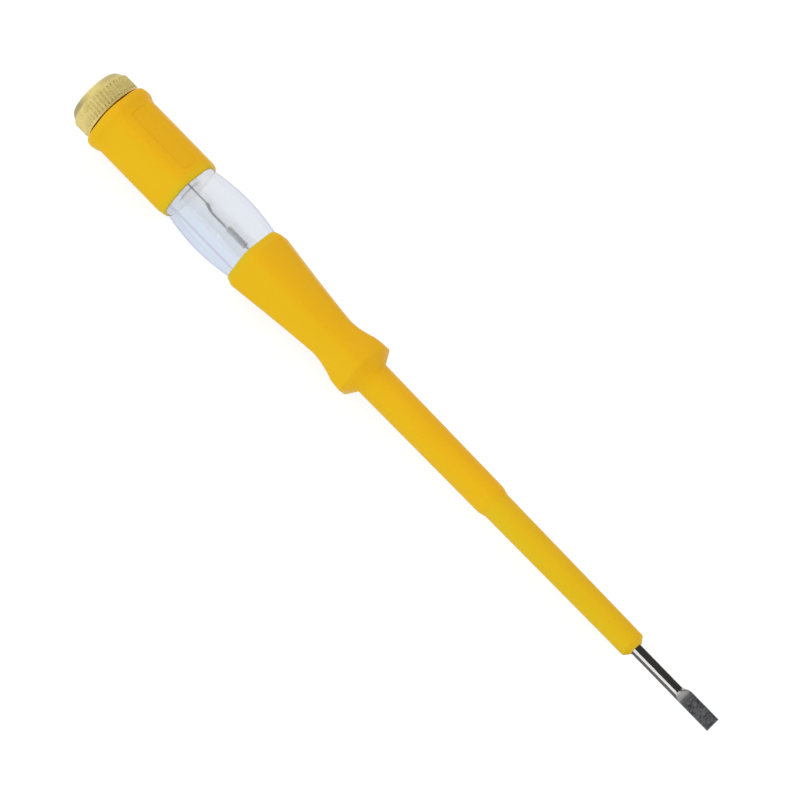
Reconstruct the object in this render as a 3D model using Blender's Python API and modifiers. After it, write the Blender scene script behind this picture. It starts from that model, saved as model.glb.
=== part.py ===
"""A mains voltage tester screwdriver, built as the separate pieces it comes apart into.

The tool lies along X with its blade tip at the origin, pointing to +X, and +Z is up.
Every piece is modelled about its own Z axis and hung on one empty that turns Z into X.
"""

from itertools import combinations
from math import cos, pi, radians, sin, sqrt, tan

import bmesh
import bpy
from mathutils import Vector

MM = 0.001

# Fits that all pieces share
FIT = 0.10 * MM            # radial gap of one piece inside another
SEAM = 0.15 * MM           # gap between two faces that meet along the tool
CONTACT = 0.20 * MM        # gap left at each electrical contact
OVERRUN = 1.0 * MM         # how far a cutter passes the face that it opens

# Smoothness
ROUND_STEPS = 48           # sides of the large turned pieces
SMALL_STEPS = 32           # sides of the pieces inside the barrel
SMOOTH_ANGLE = radians(35)
ARC_STEPS = 4              # segments of a rounded edge in a profile
WIRE_SIDES = 1             # bevel resolution of the thin wires
MERGE = 0.001 * MM         # points closer than this are one point

# Blade: round bar, its end forged and ground to a slotted-screw tip
BLADE_EXPOSED = 23.0 * MM
SHAFT_DIAMETER = 2.8 * MM
TIP_WIDTH = 3.4 * MM
TIP_THICKNESS = 0.7 * MM
TIP_ROOT_THICKNESS = 1.2 * MM
TIP_SIDE_SHIFT = 0.3 * MM  # the flat is forged to one side, flush with the bar's other side
TIP_FLAT_LENGTH = 8.1 * MM
TIP_FLARE_LENGTH = 2.1 * MM
BLADE_END_CHAMFER = 0.3 * MM
BLADE_INTO_BORE = 1.0 * MM
WING_SPAN = 4.6 * MM
WING_THICKNESS = 1.0 * MM
WING_LENGTH = 4.0 * MM
WING_RECESS = 1.2 * MM     # from the bottom of the grip's socket to the wings
BLADE_POINTS = 24
BLADE_TURN = radians(30)   # the flat faces a corner of the handle, beside the panel

# Thin insulating sleeve on the blade
TIP_SLEEVE_EXPOSED = 43.0 * MM
TIP_SLEEVE_FRONT_RADIUS = 2.97 * MM
TIP_SLEEVE_REAR_RADIUS = 3.26 * MM
TIP_SLEEVE_CHAMFER = 1.15 * MM
TIP_SLEEVE_LIP = 0.2 * MM
TIP_SLEEVE_TAIL_RADIUS = 2.5 * MM
TIP_SLEEVE_TAIL = 6.0 * MM

# Thick insulating sleeve next to the handle
NOSE_EXPOSED = 37.7 * MM
NOSE_FRONT_RADIUS = 3.73 * MM
NOSE_REAR_RADIUS = 4.0 * MM
NOSE_SHOULDER_LENGTH = 1.6 * MM
NOSE_TAIL_RADIUS = 3.3 * MM
NOSE_TAIL = 8.0 * MM

# Front grip: six soft facets, a waist and a guard collar
COLLAR_HALF = 6.74 * MM    # half across flats, as are the others named HALF
COLLAR_REAR_HALF = 6.5 * MM
WAIST_HALF = 5.13 * MM
SHOULDER_HALF = 7.53 * MM
GRIP_REAR_HALF = 6.9 * MM
GRIP_NOSE_RADIUS = 4.05 * MM
GRIP_CONE_LENGTH = 2.35 * MM
COLLAR_LENGTH = 3.0 * MM
FLARE_LENGTH = 7.0 * MM
TAPER_LENGTH = 22.6 * MM
GRIP_CHAMFER_LENGTH = 1.75 * MM
GRIP_EDGE_RADIUS = 2.3 * MM
GRIP_REAR_EDGE_RADIUS = 2.9 * MM
FLARE_POWER = 1.75
TAPER_POWER = 1.15
FLARE_STATIONS = 6
TAPER_STATIONS = 6

# Clear barrel: the core of the handle, with the swelling window between the grips
WINDOW_LENGTH = 18.75 * MM
WINDOW_END_HALF = 6.62 * MM
WINDOW_MIDDLE_HALF = 7.6 * MM
WINDOW_EDGE_RADIUS = 4.2 * MM
WINDOW_STATIONS = 8
BARREL_BORE_RADIUS = 3.2 * MM
FRONT_SPIGOT_LENGTH = 21.0 * MM
FRONT_SPIGOT_ROOT_RADIUS = 5.6 * MM
FRONT_SPIGOT_END_RADIUS = 4.2 * MM
BARREL_END_WALL = 2.8 * MM
REAR_SPIGOT_RADIUS = 6.1 * MM
REAR_SPIGOT_RECESS = 0.4 * MM

# Rear grip: six facets, a rounded lip and a sunk panel on the upper facet
REAR_GRIP_LENGTH = 23.6 * MM
REAR_GRIP_HALF = 7.5 * MM
REAR_GRIP_FRONT_HALF = 6.7 * MM
REAR_GRIP_EDGE_RADIUS = 3.0 * MM
REAR_GRIP_CHAMFER = 1.8 * MM
LIP_HALF = 8.2 * MM
LIP_END_HALF = 7.45 * MM
LIP_EDGE_RADIUS = 5.2 * MM
LIP_LENGTH = 0.2 * MM
LIP_ROUNDING = 1.3 * MM
LIP_FLANK = 2.0 * MM
PANEL_LENGTH = 16.8 * MM
PANEL_WIDTH = 4.5 * MM
PANEL_DEPTH = 0.28 * MM
PANEL_CORNER = 0.8 * MM
PANEL_CORNER_STEPS = 3
PANEL_FROM_LIP = 0.3 * MM
PANEL_SIDE_SHIFT = 0.65 * MM   # the panel lies a little off the middle of its facet

# Brass contact cap and the bush that it screws into
CAP_GAP = 0.45 * MM
CAP_HEAD_LENGTH = 6.2 * MM
CAP_RADIUS = 7.45 * MM
CAP_FACE_RADIUS = 6.0 * MM
CAP_CHAMFER_LENGTH = 2.5 * MM
CAP_RIM_LENGTH = 0.5 * MM
KNURL_DEPTH = 0.3 * MM
KNURL_RUNOUT = 0.15 * MM
KNURL_RIBS = 48
STUD_RADIUS = 4.0 * MM
STUD_LENGTH = 8.0 * MM
STUD_RELIEF_DEPTH = 0.5 * MM
STUD_RELIEF_LENGTH = 0.9 * MM
STUD_CHAMFER = 0.4 * MM
CAP_BORE_RADIUS = 2.9 * MM
CAP_BORE_DEPTH = 10.2 * MM
BUSH_WALL = 1.1 * MM
BUSH_LENGTH = 7.6 * MM
BUSH_GROOVE_DEPTH = 0.35 * MM
BUSH_GROOVE_LENGTH = 1.6 * MM

# Spring between the cap and the lamp
SPRING_WIRE_RADIUS = 0.275 * MM
SPRING_COIL_RADIUS = 2.3 * MM
SPRING_TURNS = 12
SPRING_END_TURNS = 1
SPRING_END_PITCH = 1.1 * MM
SPRING_TURN_POINTS = 10

# Neon lamp
GLASS_LENGTH = 23.2 * MM
GLASS_RADIUS = 2.5 * MM
GLASS_WALL = 0.5 * MM
GLASS_HOLE_RADIUS = 0.55 * MM
GLASS_END_ROUNDING = 0.9 * MM
FERRULE_WALL = 0.25 * MM
FERRULE_LENGTH = 2.6 * MM
FERRULE_HOLE_RADIUS = 0.5 * MM
SOLDER_RADIUS = 0.9 * MM
SOLDER_HEIGHT = 0.4 * MM
SOLDER_PLUG_RADIUS = 0.35 * MM
LEAD_RADIUS = 0.14 * MM
LEAD_BEND = 2.0 * MM       # length over which a lead moves out from the lamp's axis
LEAD_POINTS = 10
REAR_LEAD_OFFSET = 0.8 * MM         # from the lamp's axis, as the other offsets
REAR_ELECTRODE_SHARES = (0.28, 0.565)    # ends of the electrode, as shares of the glass from its rear
REAR_ELECTRODE_BEND = 2.2 * MM      # length of its slanted root, where it is welded to the lead
REAR_ELECTRODE_ROOT_RADIUS = 0.3 * MM
REAR_ELECTRODE_RADIUS = 0.16 * MM
REAR_ELECTRODE_OFFSET = 0.15 * MM
FRONT_ELECTRODE_END_SHARE = 0.82    # front end of the other electrode, as a share of the same length
ELECTRODE_GAP = 0.3 * MM            # between the two electrodes, where the lamp glows
FRONT_ELECTRODE_RADIUS = 0.53 * MM
FRONT_ELECTRODE_OFFSET = 0.33 * MM
ELECTRODE_ROUNDING = 0.12 * MM

# Series resistor
ROD_RADIUS = 2.3 * MM
ROD_LENGTH = 13.5 * MM
ROD_CHAMFER = 0.3 * MM
END_CAP_WALL = 0.25 * MM
END_CAP_LENGTH = 3.2 * MM
END_CAP_ROUNDING = 0.3 * MM

# Angles round one sixth of a faceted ring, from the middle of a flat, in degrees
FACET_ANGLES = (0.0, 13.0, 21.0, 25.5, 30.0, 34.5, 39.0, 47.0)
FACETS = 6
ELECTRODE_TURN = radians(126)   # direction in which the electrodes lie beside the lamp's axis

# Places along the tool, from the tip at zero back to the cap
SLEEVE_FRONT = -BLADE_EXPOSED
SLEEVE_STEP = SLEEVE_FRONT - TIP_SLEEVE_EXPOSED
NOSE_FRONT = SLEEVE_STEP - SEAM
NOSE_SEAT = NOSE_FRONT - NOSE_EXPOSED
GRIP_FRONT = NOSE_SEAT - SEAM
GRIP_LENGTH = GRIP_CONE_LENGTH + COLLAR_LENGTH + FLARE_LENGTH + TAPER_LENGTH + GRIP_CHAMFER_LENGTH
GRIP_REAR = GRIP_FRONT - GRIP_LENGTH
WINDOW_FRONT = GRIP_REAR - SEAM
WINDOW_REAR = WINDOW_FRONT - WINDOW_LENGTH
REAR_GRIP_FRONT = WINDOW_REAR - SEAM
REAR_GRIP_REAR = REAR_GRIP_FRONT - REAR_GRIP_LENGTH
CAP_SEAT = REAR_GRIP_REAR - CAP_GAP
BARREL_FRONT = WINDOW_FRONT + FRONT_SPIGOT_LENGTH
BARREL_REAR = REAR_GRIP_REAR + REAR_SPIGOT_RECESS
BORE_FRONT = BARREL_FRONT - BARREL_END_WALL
BLADE_REAR = BORE_FRONT - BLADE_INTO_BORE
SOCKET_BOTTOM = GRIP_FRONT - NOSE_TAIL - SEAM
WING_FRONT = SOCKET_BOTTOM - WING_RECESS
RESISTOR_FRONT = BLADE_REAR - CONTACT
ROD_FRONT = RESISTOR_FRONT - END_CAP_WALL - SEAM
ROD_REAR = ROD_FRONT - ROD_LENGTH
RESISTOR_REAR = ROD_REAR - SEAM - END_CAP_WALL
LAMP_FRONT = RESISTOR_REAR - CONTACT
FERRULE_FRONT = LAMP_FRONT - SOLDER_HEIGHT
GLASS_FRONT = FERRULE_FRONT - FERRULE_WALL - SEAM
GLASS_REAR = GLASS_FRONT - GLASS_LENGTH
REAR_ELECTRODE_REAR = GLASS_REAR + GLASS_LENGTH * REAR_ELECTRODE_SHARES[0]
REAR_ELECTRODE_FRONT = GLASS_REAR + GLASS_LENGTH * REAR_ELECTRODE_SHARES[1]
FRONT_ELECTRODE_REAR = REAR_ELECTRODE_FRONT + ELECTRODE_GAP
FRONT_ELECTRODE_FRONT = GLASS_REAR + GLASS_LENGTH * FRONT_ELECTRODE_END_SHARE
FERRULE_REAR = GLASS_REAR - SEAM - FERRULE_WALL
LAMP_REAR = FERRULE_REAR - SOLDER_HEIGHT
STUD_END = CAP_SEAT + STUD_LENGTH
CAP_BORE_END = STUD_END - CAP_BORE_DEPTH
SPRING_FRONT = LAMP_REAR - CONTACT
SPRING_REAR = CAP_BORE_END + CONTACT
BUSH_REAR = BARREL_REAR
BUSH_RADIUS = STUD_RADIUS + FIT + BUSH_WALL


def remove_everything():
    for old in list(bpy.data.objects):
        bpy.data.objects.remove(old)


def new_collection(name):
    made = bpy.data.collections.new(name)
    bpy.context.scene.collection.children.link(made)
    return made


def new_material(name, colour, roughness, metallic=0.0, alpha=1.0):
    made = bpy.data.materials.new(name)
    made.use_nodes = True
    made.diffuse_color = (*colour, alpha)
    shader = made.node_tree.nodes["Principled BSDF"]
    shader.inputs["Base Color"].default_value = (*colour, 1.0)
    shader.inputs["Roughness"].default_value = roughness
    shader.inputs["Metallic"].default_value = metallic
    shader.inputs["Alpha"].default_value = alpha
    return made


class Workshop:
    """Holds the collections, the axis empty and the materials that every piece uses."""

    def __init__(self):
        self.pieces = new_collection("voltage_tester")
        self.cutters = new_collection("cutters")
        self.axis = bpy.data.objects.new("tool_axis", None)
        self.axis.rotation_euler = (0, radians(90), 0)
        self.pieces.objects.link(self.axis)
        self.yellow = new_material("yellow_plastic", (0.82, 0.50, 0.02), 0.35)
        self.sleeve_yellow = new_material("sleeve_plastic", (0.74, 0.53, 0.02), 0.4)
        self.clear = new_material("clear_plastic", (0.92, 0.95, 0.97), 0.05, alpha=0.3)
        self.glass = new_material("lamp_glass", (0.95, 0.97, 0.98), 0.02, alpha=0.25)
        self.brass = new_material("brass", (0.72, 0.58, 0.28), 0.3, 1.0)
        self.nickel = new_material("nickel_plate", (0.68, 0.68, 0.66), 0.12, 1.0)
        self.tin = new_material("tin_solder", (0.6, 0.6, 0.6), 0.4, 1.0)
        self.electrode = new_material("nickel_electrode", (0.3, 0.3, 0.32), 0.5, 1.0)
        self.spring_steel = new_material("spring_steel", (0.55, 0.55, 0.56), 0.25, 1.0)
        self.ceramic = new_material("resistor_lacquer", (0.42, 0.22, 0.12), 0.5)

    def add(self, name, mesh, place, material):
        """Puts a mesh on the tool's axis, its own zero at that place along the tool."""
        piece = bpy.data.objects.new(name, mesh)
        piece.location = (0, 0, place)
        piece.parent = self.axis
        self.pieces.objects.link(piece)
        piece.data.materials.append(material)
        return piece

    def add_cutter(self, name, mesh, place):
        cutter = bpy.data.objects.new(name, mesh)
        cutter.location = (0, 0, place)
        cutter.parent = self.axis
        cutter.hide_render = True
        cutter.display_type = "WIRE"
        self.cutters.objects.link(cutter)
        return cutter


def shade(mesh):
    mesh.shade_smooth()
    mesh.set_sharp_from_angle(angle=SMOOTH_ANGLE)
    return mesh


def evaluated_mesh(maker):
    """The mesh of an object as its modifiers or its bevel make it; the object is removed."""
    bpy.context.scene.collection.objects.link(maker)
    graph = bpy.context.evaluated_depsgraph_get()
    made = bpy.data.meshes.new_from_object(maker.evaluated_get(graph))
    made.transform(maker.matrix_world)
    bpy.data.objects.remove(maker)
    return made


def turned(profile, steps=ROUND_STEPS, closed=False):
    """A turned mesh. The profile is (radius, height) points down the outer side, then up the bore.

    A closed profile is a ring with a hole; an open one starts and ends on the axis."""
    outline = bpy.data.meshes.new("profile")
    count = len(profile)
    edges = [(i, i + 1) for i in range(count - 1)]
    if closed:
        edges.append((count - 1, 0))
    outline.from_pydata([(radius, 0, height) for radius, height in profile], edges, [])
    maker = bpy.data.objects.new("profile", outline)
    screw = maker.modifiers.new("turn", "SCREW")
    screw.axis = "Z"
    screw.angle = radians(360)
    screw.steps = steps
    screw.render_steps = steps
    screw.use_merge_vertices = True
    screw.merge_threshold = MERGE
    return shade(evaluated_mesh(maker))


def lofted(rings, closed=False):
    """A mesh through rings of equally many points, given from the low end of Z to the high end."""
    shape = bmesh.new()
    loops = [[shape.verts.new(point) for point in ring] for ring in rings]
    pairs = list(zip(loops, loops[1:]))
    if closed:
        pairs.append((loops[-1], loops[0]))
    else:
        shape.faces.new(reversed(loops[0]))
        shape.faces.new(loops[-1])
    count = len(loops[0])
    for low, high in pairs:
        for i in range(count):
            j = (i + 1) % count
            shape.faces.new((low[i], low[j], high[j], high[i]))
    mesh = bpy.data.meshes.new("loft")
    shape.to_mesh(mesh)
    shape.free()
    return shade(mesh)


def facet_angles():
    """The angles of the points of a faceted ring, the first in the middle of a flat."""
    sector = 360.0 / FACETS
    return [radians(sector * k + angle) for k in range(FACETS) for angle in FACET_ANGLES]


def facet_radius(angle, half, edge_radius):
    """Distance from the axis to a hexagon with rounded edges, at an angle from a flat's middle."""
    sector = 2 * pi / FACETS
    turn = abs((angle + sector / 2) % sector - sector / 2)
    if half * tan(turn) <= (half - edge_radius) * tan(sector / 2):
        return half / cos(turn)
    centre = (half - edge_radius) / cos(sector / 2)
    away = sector / 2 - turn
    return centre * cos(away) + sqrt(edge_radius ** 2 - (centre * sin(away)) ** 2)


def faceted_ring(height, half, edge_radius):
    """Points of a rounded hexagon across the tool; a flat faces up once the tool is laid along X."""
    ring = []
    for angle in facet_angles():
        radius = facet_radius(angle, half, edge_radius)
        ring.append((-radius * cos(angle), -radius * sin(angle), height))
    return ring


def round_ring(height, radius):
    return faceted_ring(height, radius, radius)


def cut(piece, cutter):
    step = piece.modifiers.new(cutter.name, "BOOLEAN")
    step.operation = "DIFFERENCE"
    step.solver = "EXACT"
    step.object = cutter


def join(piece, other):
    step = piece.modifiers.new(other.name, "BOOLEAN")
    step.operation = "UNION"
    step.solver = "EXACT"
    step.object = other


def box_mesh(size_x, size_y, size_z):
    shape = bmesh.new()
    bmesh.ops.create_cube(shape, size=1.0)
    bmesh.ops.scale(shape, vec=(size_x, size_y, size_z), verts=shape.verts)
    mesh = bpy.data.meshes.new("box")
    shape.to_mesh(mesh)
    shape.free()
    return mesh


def blade_ring(height, width, thickness, squareness, shift):
    """A ring that turns from an ellipse, at squareness 0, into a rectangle, at squareness 1.

    Shift moves it to one side, along its width."""
    ring = []
    for i in range(BLADE_POINTS):
        angle = 2 * pi * i / BLADE_POINTS
        across, along = cos(angle), sin(angle)
        grow = 1 + squareness * (1 / max(abs(across), abs(along)) - 1)
        ring.append((across * grow * thickness / 2, shift + along * grow * width / 2, height))
    return ring


def make_blade(shop):
    """Bar with the ground tip, two pressed wings that stop it turning, and a chamfered rear end."""
    shaft = SHAFT_DIAMETER
    end = shaft - 2 * BLADE_END_CHAMFER
    flat_root = -TIP_FLAT_LENGTH
    flare_root = flat_root - TIP_FLARE_LENGTH
    middle = (flat_root + flare_root) / 2
    middle_width = (shaft + TIP_WIDTH) / 2
    middle_thickness = (shaft + TIP_ROOT_THICKNESS) / 2
    middle_squareness = 0.5
    shift = TIP_SIDE_SHIFT
    rings = [
        blade_ring(BLADE_REAR, end, end, 0, 0),
        blade_ring(BLADE_REAR + BLADE_END_CHAMFER, shaft, shaft, 0, 0),
        blade_ring(flare_root, shaft, shaft, 0, 0),
        blade_ring(middle, middle_width, middle_thickness, middle_squareness, shift / 2),
        blade_ring(flat_root, TIP_WIDTH, TIP_ROOT_THICKNESS, 1, shift),
        blade_ring(0, TIP_WIDTH, TIP_THICKNESS, 1, shift),
    ]
    blade = shop.add("blade", lofted(rings), 0, shop.nickel)
    blade.rotation_euler.z = BLADE_TURN
    wings = box_mesh(WING_THICKNESS, WING_SPAN, WING_LENGTH)
    wing_cutter = shop.add_cutter("blade_wings", wings, WING_FRONT - WING_LENGTH / 2)
    wing_cutter.rotation_euler.z = BLADE_TURN
    join(blade, wing_cutter)


def make_tip_sleeve(shop):
    bore = SHAFT_DIAMETER / 2 + FIT
    mouth = bore + TIP_SLEEVE_LIP
    total = -TIP_SLEEVE_EXPOSED - TIP_SLEEVE_TAIL
    profile = [
        (mouth, 0),
        (TIP_SLEEVE_FRONT_RADIUS, -TIP_SLEEVE_CHAMFER),
        (TIP_SLEEVE_REAR_RADIUS, -TIP_SLEEVE_EXPOSED),
        (TIP_SLEEVE_TAIL_RADIUS, -TIP_SLEEVE_EXPOSED),
        (TIP_SLEEVE_TAIL_RADIUS, total),
        (bore, total),
        (bore, 0),
    ]
    shop.add("tip_sleeve", turned(profile, closed=True), SLEEVE_FRONT, shop.sleeve_yellow)


def make_nose_sleeve(shop):
    bore = SHAFT_DIAMETER / 2 + FIT
    socket = TIP_SLEEVE_TAIL_RADIUS + FIT
    socket_bottom = -TIP_SLEEVE_TAIL
    total = -NOSE_EXPOSED - NOSE_TAIL
    profile = [
        (TIP_SLEEVE_REAR_RADIUS, 0),
        (NOSE_FRONT_RADIUS, -NOSE_SHOULDER_LENGTH),
        (NOSE_REAR_RADIUS, -NOSE_EXPOSED),
        (NOSE_TAIL_RADIUS, -NOSE_EXPOSED),
        (NOSE_TAIL_RADIUS, total),
        (bore, total),
        (bore, socket_bottom),
        (socket, socket_bottom),
        (socket, 0),
    ]
    shop.add("nose_sleeve", turned(profile, closed=True), NOSE_FRONT, shop.yellow)


def front_grip_sections():
    """(height below the grip's front, half across flats, edge radius), from the rear end to the front."""
    collar_rear = -GRIP_CONE_LENGTH - COLLAR_LENGTH
    waist = collar_rear - FLARE_LENGTH
    shoulder = waist - TAPER_LENGTH
    edge = GRIP_EDGE_RADIUS
    sections = [(shoulder - GRIP_CHAMFER_LENGTH, GRIP_REAR_HALF, GRIP_REAR_EDGE_RADIUS)]
    for i in range(TAPER_STATIONS, 0, -1):
        share = i / TAPER_STATIONS
        half = WAIST_HALF + (SHOULDER_HALF - WAIST_HALF) * share ** TAPER_POWER
        sections.append((waist - TAPER_LENGTH * share, half, edge))
    for i in range(FLARE_STATIONS + 1):
        share = i / FLARE_STATIONS
        half = WAIST_HALF + (COLLAR_REAR_HALF - WAIST_HALF) * share ** FLARE_POWER
        sections.append((waist + FLARE_LENGTH * share, half, edge))
    sections.append((-GRIP_CONE_LENGTH, COLLAR_HALF, edge))
    sections.append((0, GRIP_NOSE_RADIUS, GRIP_NOSE_RADIUS))
    return sections


def make_front_grip(shop):
    """The faceted shell, bored for the barrel's spigot, the blade with its wings and the nose sleeve."""
    rings = [faceted_ring(*section) for section in front_grip_sections()]
    grip = shop.add("front_grip", lofted(rings), GRIP_FRONT, shop.yellow)

    spigot_length = FRONT_SPIGOT_LENGTH + SEAM
    taper = (FRONT_SPIGOT_ROOT_RADIUS - FRONT_SPIGOT_END_RADIUS) / FRONT_SPIGOT_LENGTH
    blade_hole = SHAFT_DIAMETER / 2 + FIT
    spigot_top = BARREL_FRONT + SEAM
    root = FRONT_SPIGOT_ROOT_RADIUS + FIT + taper * OVERRUN
    tip = root - taper * (spigot_length + OVERRUN)
    socket = NOSE_TAIL_RADIUS + FIT
    profile = [
        (0, GRIP_FRONT + OVERRUN),
        (socket, GRIP_FRONT + OVERRUN),
        (socket, SOCKET_BOTTOM),
        (blade_hole, SOCKET_BOTTOM),
        (blade_hole, spigot_top),
        (tip, spigot_top),
        (root, GRIP_REAR - OVERRUN),
        (0, GRIP_REAR - OVERRUN),
    ]
    cut(grip, shop.add_cutter("front_grip_bore", turned(profile), 0))
    slot_length = WING_RECESS + WING_LENGTH + SEAM + OVERRUN
    slot = box_mesh(WING_THICKNESS + 2 * FIT, WING_SPAN + 2 * FIT, slot_length)
    slot_middle = SOCKET_BOTTOM + OVERRUN - slot_length / 2
    slot_cutter = shop.add_cutter("wing_slot", slot, slot_middle)
    slot_cutter.rotation_euler.z = BLADE_TURN
    cut(grip, slot_cutter)


def window_half(share):
    """Half across the window's flats at a share of its length: an arc that is widest in the middle."""
    swell = WINDOW_MIDDLE_HALF - WINDOW_END_HALF
    return WINDOW_END_HALF + swell * (1 - (2 * share - 1) ** 2)


def make_window_barrel(shop):
    """The clear core: tapered front spigot, swelling window and round rear spigot, bored through."""
    rings = [round_ring(BARREL_REAR, REAR_SPIGOT_RADIUS), round_ring(WINDOW_REAR, REAR_SPIGOT_RADIUS)]
    for i in range(WINDOW_STATIONS + 1):
        share = i / WINDOW_STATIONS
        height = WINDOW_REAR + WINDOW_LENGTH * share
        rings.append(faceted_ring(height, window_half(share), WINDOW_EDGE_RADIUS))
    rings.append(round_ring(WINDOW_FRONT, FRONT_SPIGOT_ROOT_RADIUS))
    rings.append(round_ring(BARREL_FRONT, FRONT_SPIGOT_END_RADIUS))
    barrel = shop.add("window_barrel", lofted(rings), 0, shop.clear)

    blade_hole = SHAFT_DIAMETER / 2 + FIT
    bush_seat = BUSH_RADIUS + FIT
    bush_front = BUSH_REAR + BUSH_LENGTH + SEAM
    profile = [
        (0, BARREL_FRONT + OVERRUN),
        (blade_hole, BARREL_FRONT + OVERRUN),
        (blade_hole, BORE_FRONT),
        (BARREL_BORE_RADIUS, BORE_FRONT),
        (BARREL_BORE_RADIUS, bush_front),
        (bush_seat, bush_front),
        (bush_seat, BARREL_REAR - OVERRUN),
        (0, BARREL_REAR - OVERRUN),
    ]
    cut(barrel, shop.add_cutter("barrel_bore", turned(profile), 0))


def eased(start, stop, share):
    """A value between two, moved smoothly from the first to the second."""
    return start + (stop - start) * share * share * (3 - 2 * share)


def rear_grip_sections():
    """(height, half across flats, edge radius) from the lip's end face to the front rim."""
    sections = []
    for i in range(ARC_STEPS + 1):
        angle = radians(90) * i / ARC_STEPS
        height = LIP_ROUNDING * (1 - cos(angle))
        sections.append((height, LIP_END_HALF + (LIP_HALF - LIP_END_HALF) * sin(angle), LIP_EDGE_RADIUS))
    lip_stop = LIP_ROUNDING + LIP_LENGTH
    for i in range(ARC_STEPS + 1):
        share = i / ARC_STEPS
        half = eased(LIP_HALF, REAR_GRIP_HALF, share)
        edge = eased(LIP_EDGE_RADIUS, REAR_GRIP_EDGE_RADIUS, share)
        sections.append((lip_stop + LIP_FLANK * share, half, edge))
    rim_start = REAR_GRIP_LENGTH - REAR_GRIP_CHAMFER
    for i in range(ARC_STEPS + 1):
        angle = radians(90) * i / ARC_STEPS
        height = rim_start + REAR_GRIP_CHAMFER * sin(angle)
        half = REAR_GRIP_FRONT_HALF + (REAR_GRIP_HALF - REAR_GRIP_FRONT_HALF) * cos(angle)
        sections.append((height, half, REAR_GRIP_EDGE_RADIUS))
    return sections


def panel_cutter():
    """A block with rounded corners that sinks the panel into the upper facet."""
    shape = bmesh.new()
    bmesh.ops.create_cube(shape, size=1.0)
    size = (PANEL_DEPTH + OVERRUN, PANEL_WIDTH, PANEL_LENGTH)
    bmesh.ops.scale(shape, vec=size, verts=shape.verts)
    upright = [e for e in shape.edges if abs(e.verts[0].co.x - e.verts[1].co.x) > PANEL_DEPTH / 2]
    bmesh.ops.bevel(shape, geom=upright, offset=PANEL_CORNER, segments=PANEL_CORNER_STEPS, affect="EDGES")
    mesh = bpy.data.meshes.new("panel")
    shape.to_mesh(mesh)
    shape.free()
    return mesh


def make_rear_grip(shop):
    rings = [faceted_ring(*section) for section in rear_grip_sections()]
    grip = shop.add("rear_grip", lofted(rings), REAR_GRIP_REAR, shop.yellow)

    bore = REAR_SPIGOT_RADIUS + FIT
    profile = [
        (0, REAR_GRIP_FRONT + OVERRUN),
        (bore, REAR_GRIP_FRONT + OVERRUN),
        (bore, REAR_GRIP_REAR - OVERRUN),
        (0, REAR_GRIP_REAR - OVERRUN),
    ]
    cut(grip, shop.add_cutter("rear_grip_bore", turned(profile), 0))
    panel_rear = REAR_GRIP_REAR + LIP_ROUNDING + LIP_LENGTH + LIP_FLANK + PANEL_FROM_LIP
    panel = shop.add_cutter("panel_recess", panel_cutter(), panel_rear + PANEL_LENGTH / 2)
    panel.location.x = -(REAR_GRIP_HALF - PANEL_DEPTH + (PANEL_DEPTH + OVERRUN) / 2)
    panel.location.y = PANEL_SIDE_SHIFT
    cut(grip, panel)


def knurl_ring(height, radius, depth):
    """A ring of rib tops and roots; a depth of zero makes it plain."""
    ring = []
    for i in range(2 * KNURL_RIBS):
        angle = pi * i / KNURL_RIBS
        reach = radius - depth * (i % 2)
        ring.append((reach * cos(angle), reach * sin(angle), height))
    return ring


def make_contact_cap(shop):
    """Knurled brass head with a chamfered face, and the hollow stud that holds the spring."""
    root = CAP_RADIUS - KNURL_DEPTH
    face = -CAP_HEAD_LENGTH
    chamfer_end = face + CAP_CHAMFER_LENGTH
    slope = CAP_CHAMFER_LENGTH / (CAP_RADIUS - CAP_FACE_RADIUS)
    root_start = chamfer_end - slope * KNURL_DEPTH
    rim = -CAP_RIM_LENGTH
    relief = STUD_RADIUS - STUD_RELIEF_DEPTH
    bore_end = STUD_LENGTH - CAP_BORE_DEPTH
    rings = [
        knurl_ring(face, CAP_FACE_RADIUS, 0),
        knurl_ring(root_start, root, 0),
        knurl_ring(chamfer_end, CAP_RADIUS, KNURL_DEPTH),
        knurl_ring(rim - KNURL_RUNOUT, CAP_RADIUS, KNURL_DEPTH),
        knurl_ring(rim, root, 0),
        knurl_ring(0, root, 0),
        knurl_ring(0, relief, 0),
        knurl_ring(STUD_RELIEF_LENGTH, relief, 0),
        knurl_ring(STUD_RELIEF_LENGTH + STUD_RELIEF_DEPTH, STUD_RADIUS, 0),
        knurl_ring(STUD_LENGTH - STUD_CHAMFER, STUD_RADIUS, 0),
        knurl_ring(STUD_LENGTH, STUD_RADIUS - STUD_CHAMFER, 0),
        knurl_ring(STUD_LENGTH, CAP_BORE_RADIUS, 0),
        knurl_ring(bore_end, CAP_BORE_RADIUS, 0),
    ]
    shop.add("contact_cap", lofted(rings), CAP_SEAT, shop.brass)


def make_threaded_bush(shop):
    """Brass bush with a middle groove that keys it in the barrel; its bore takes the cap's stud."""
    bore = STUD_RADIUS + FIT
    groove = BUSH_RADIUS - BUSH_GROOVE_DEPTH
    groove_top = (BUSH_LENGTH + BUSH_GROOVE_LENGTH) / 2
    groove_bottom = (BUSH_LENGTH - BUSH_GROOVE_LENGTH) / 2
    profile = [
        (BUSH_RADIUS, BUSH_LENGTH),
        (BUSH_RADIUS, groove_top),
        (groove, groove_top),
        (groove, groove_bottom),
        (BUSH_RADIUS, groove_bottom),
        (BUSH_RADIUS, 0),
        (bore, 0),
        (bore, BUSH_LENGTH),
    ]
    shop.add("threaded_bush", turned(profile, closed=True), BUSH_REAR, shop.brass)


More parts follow.
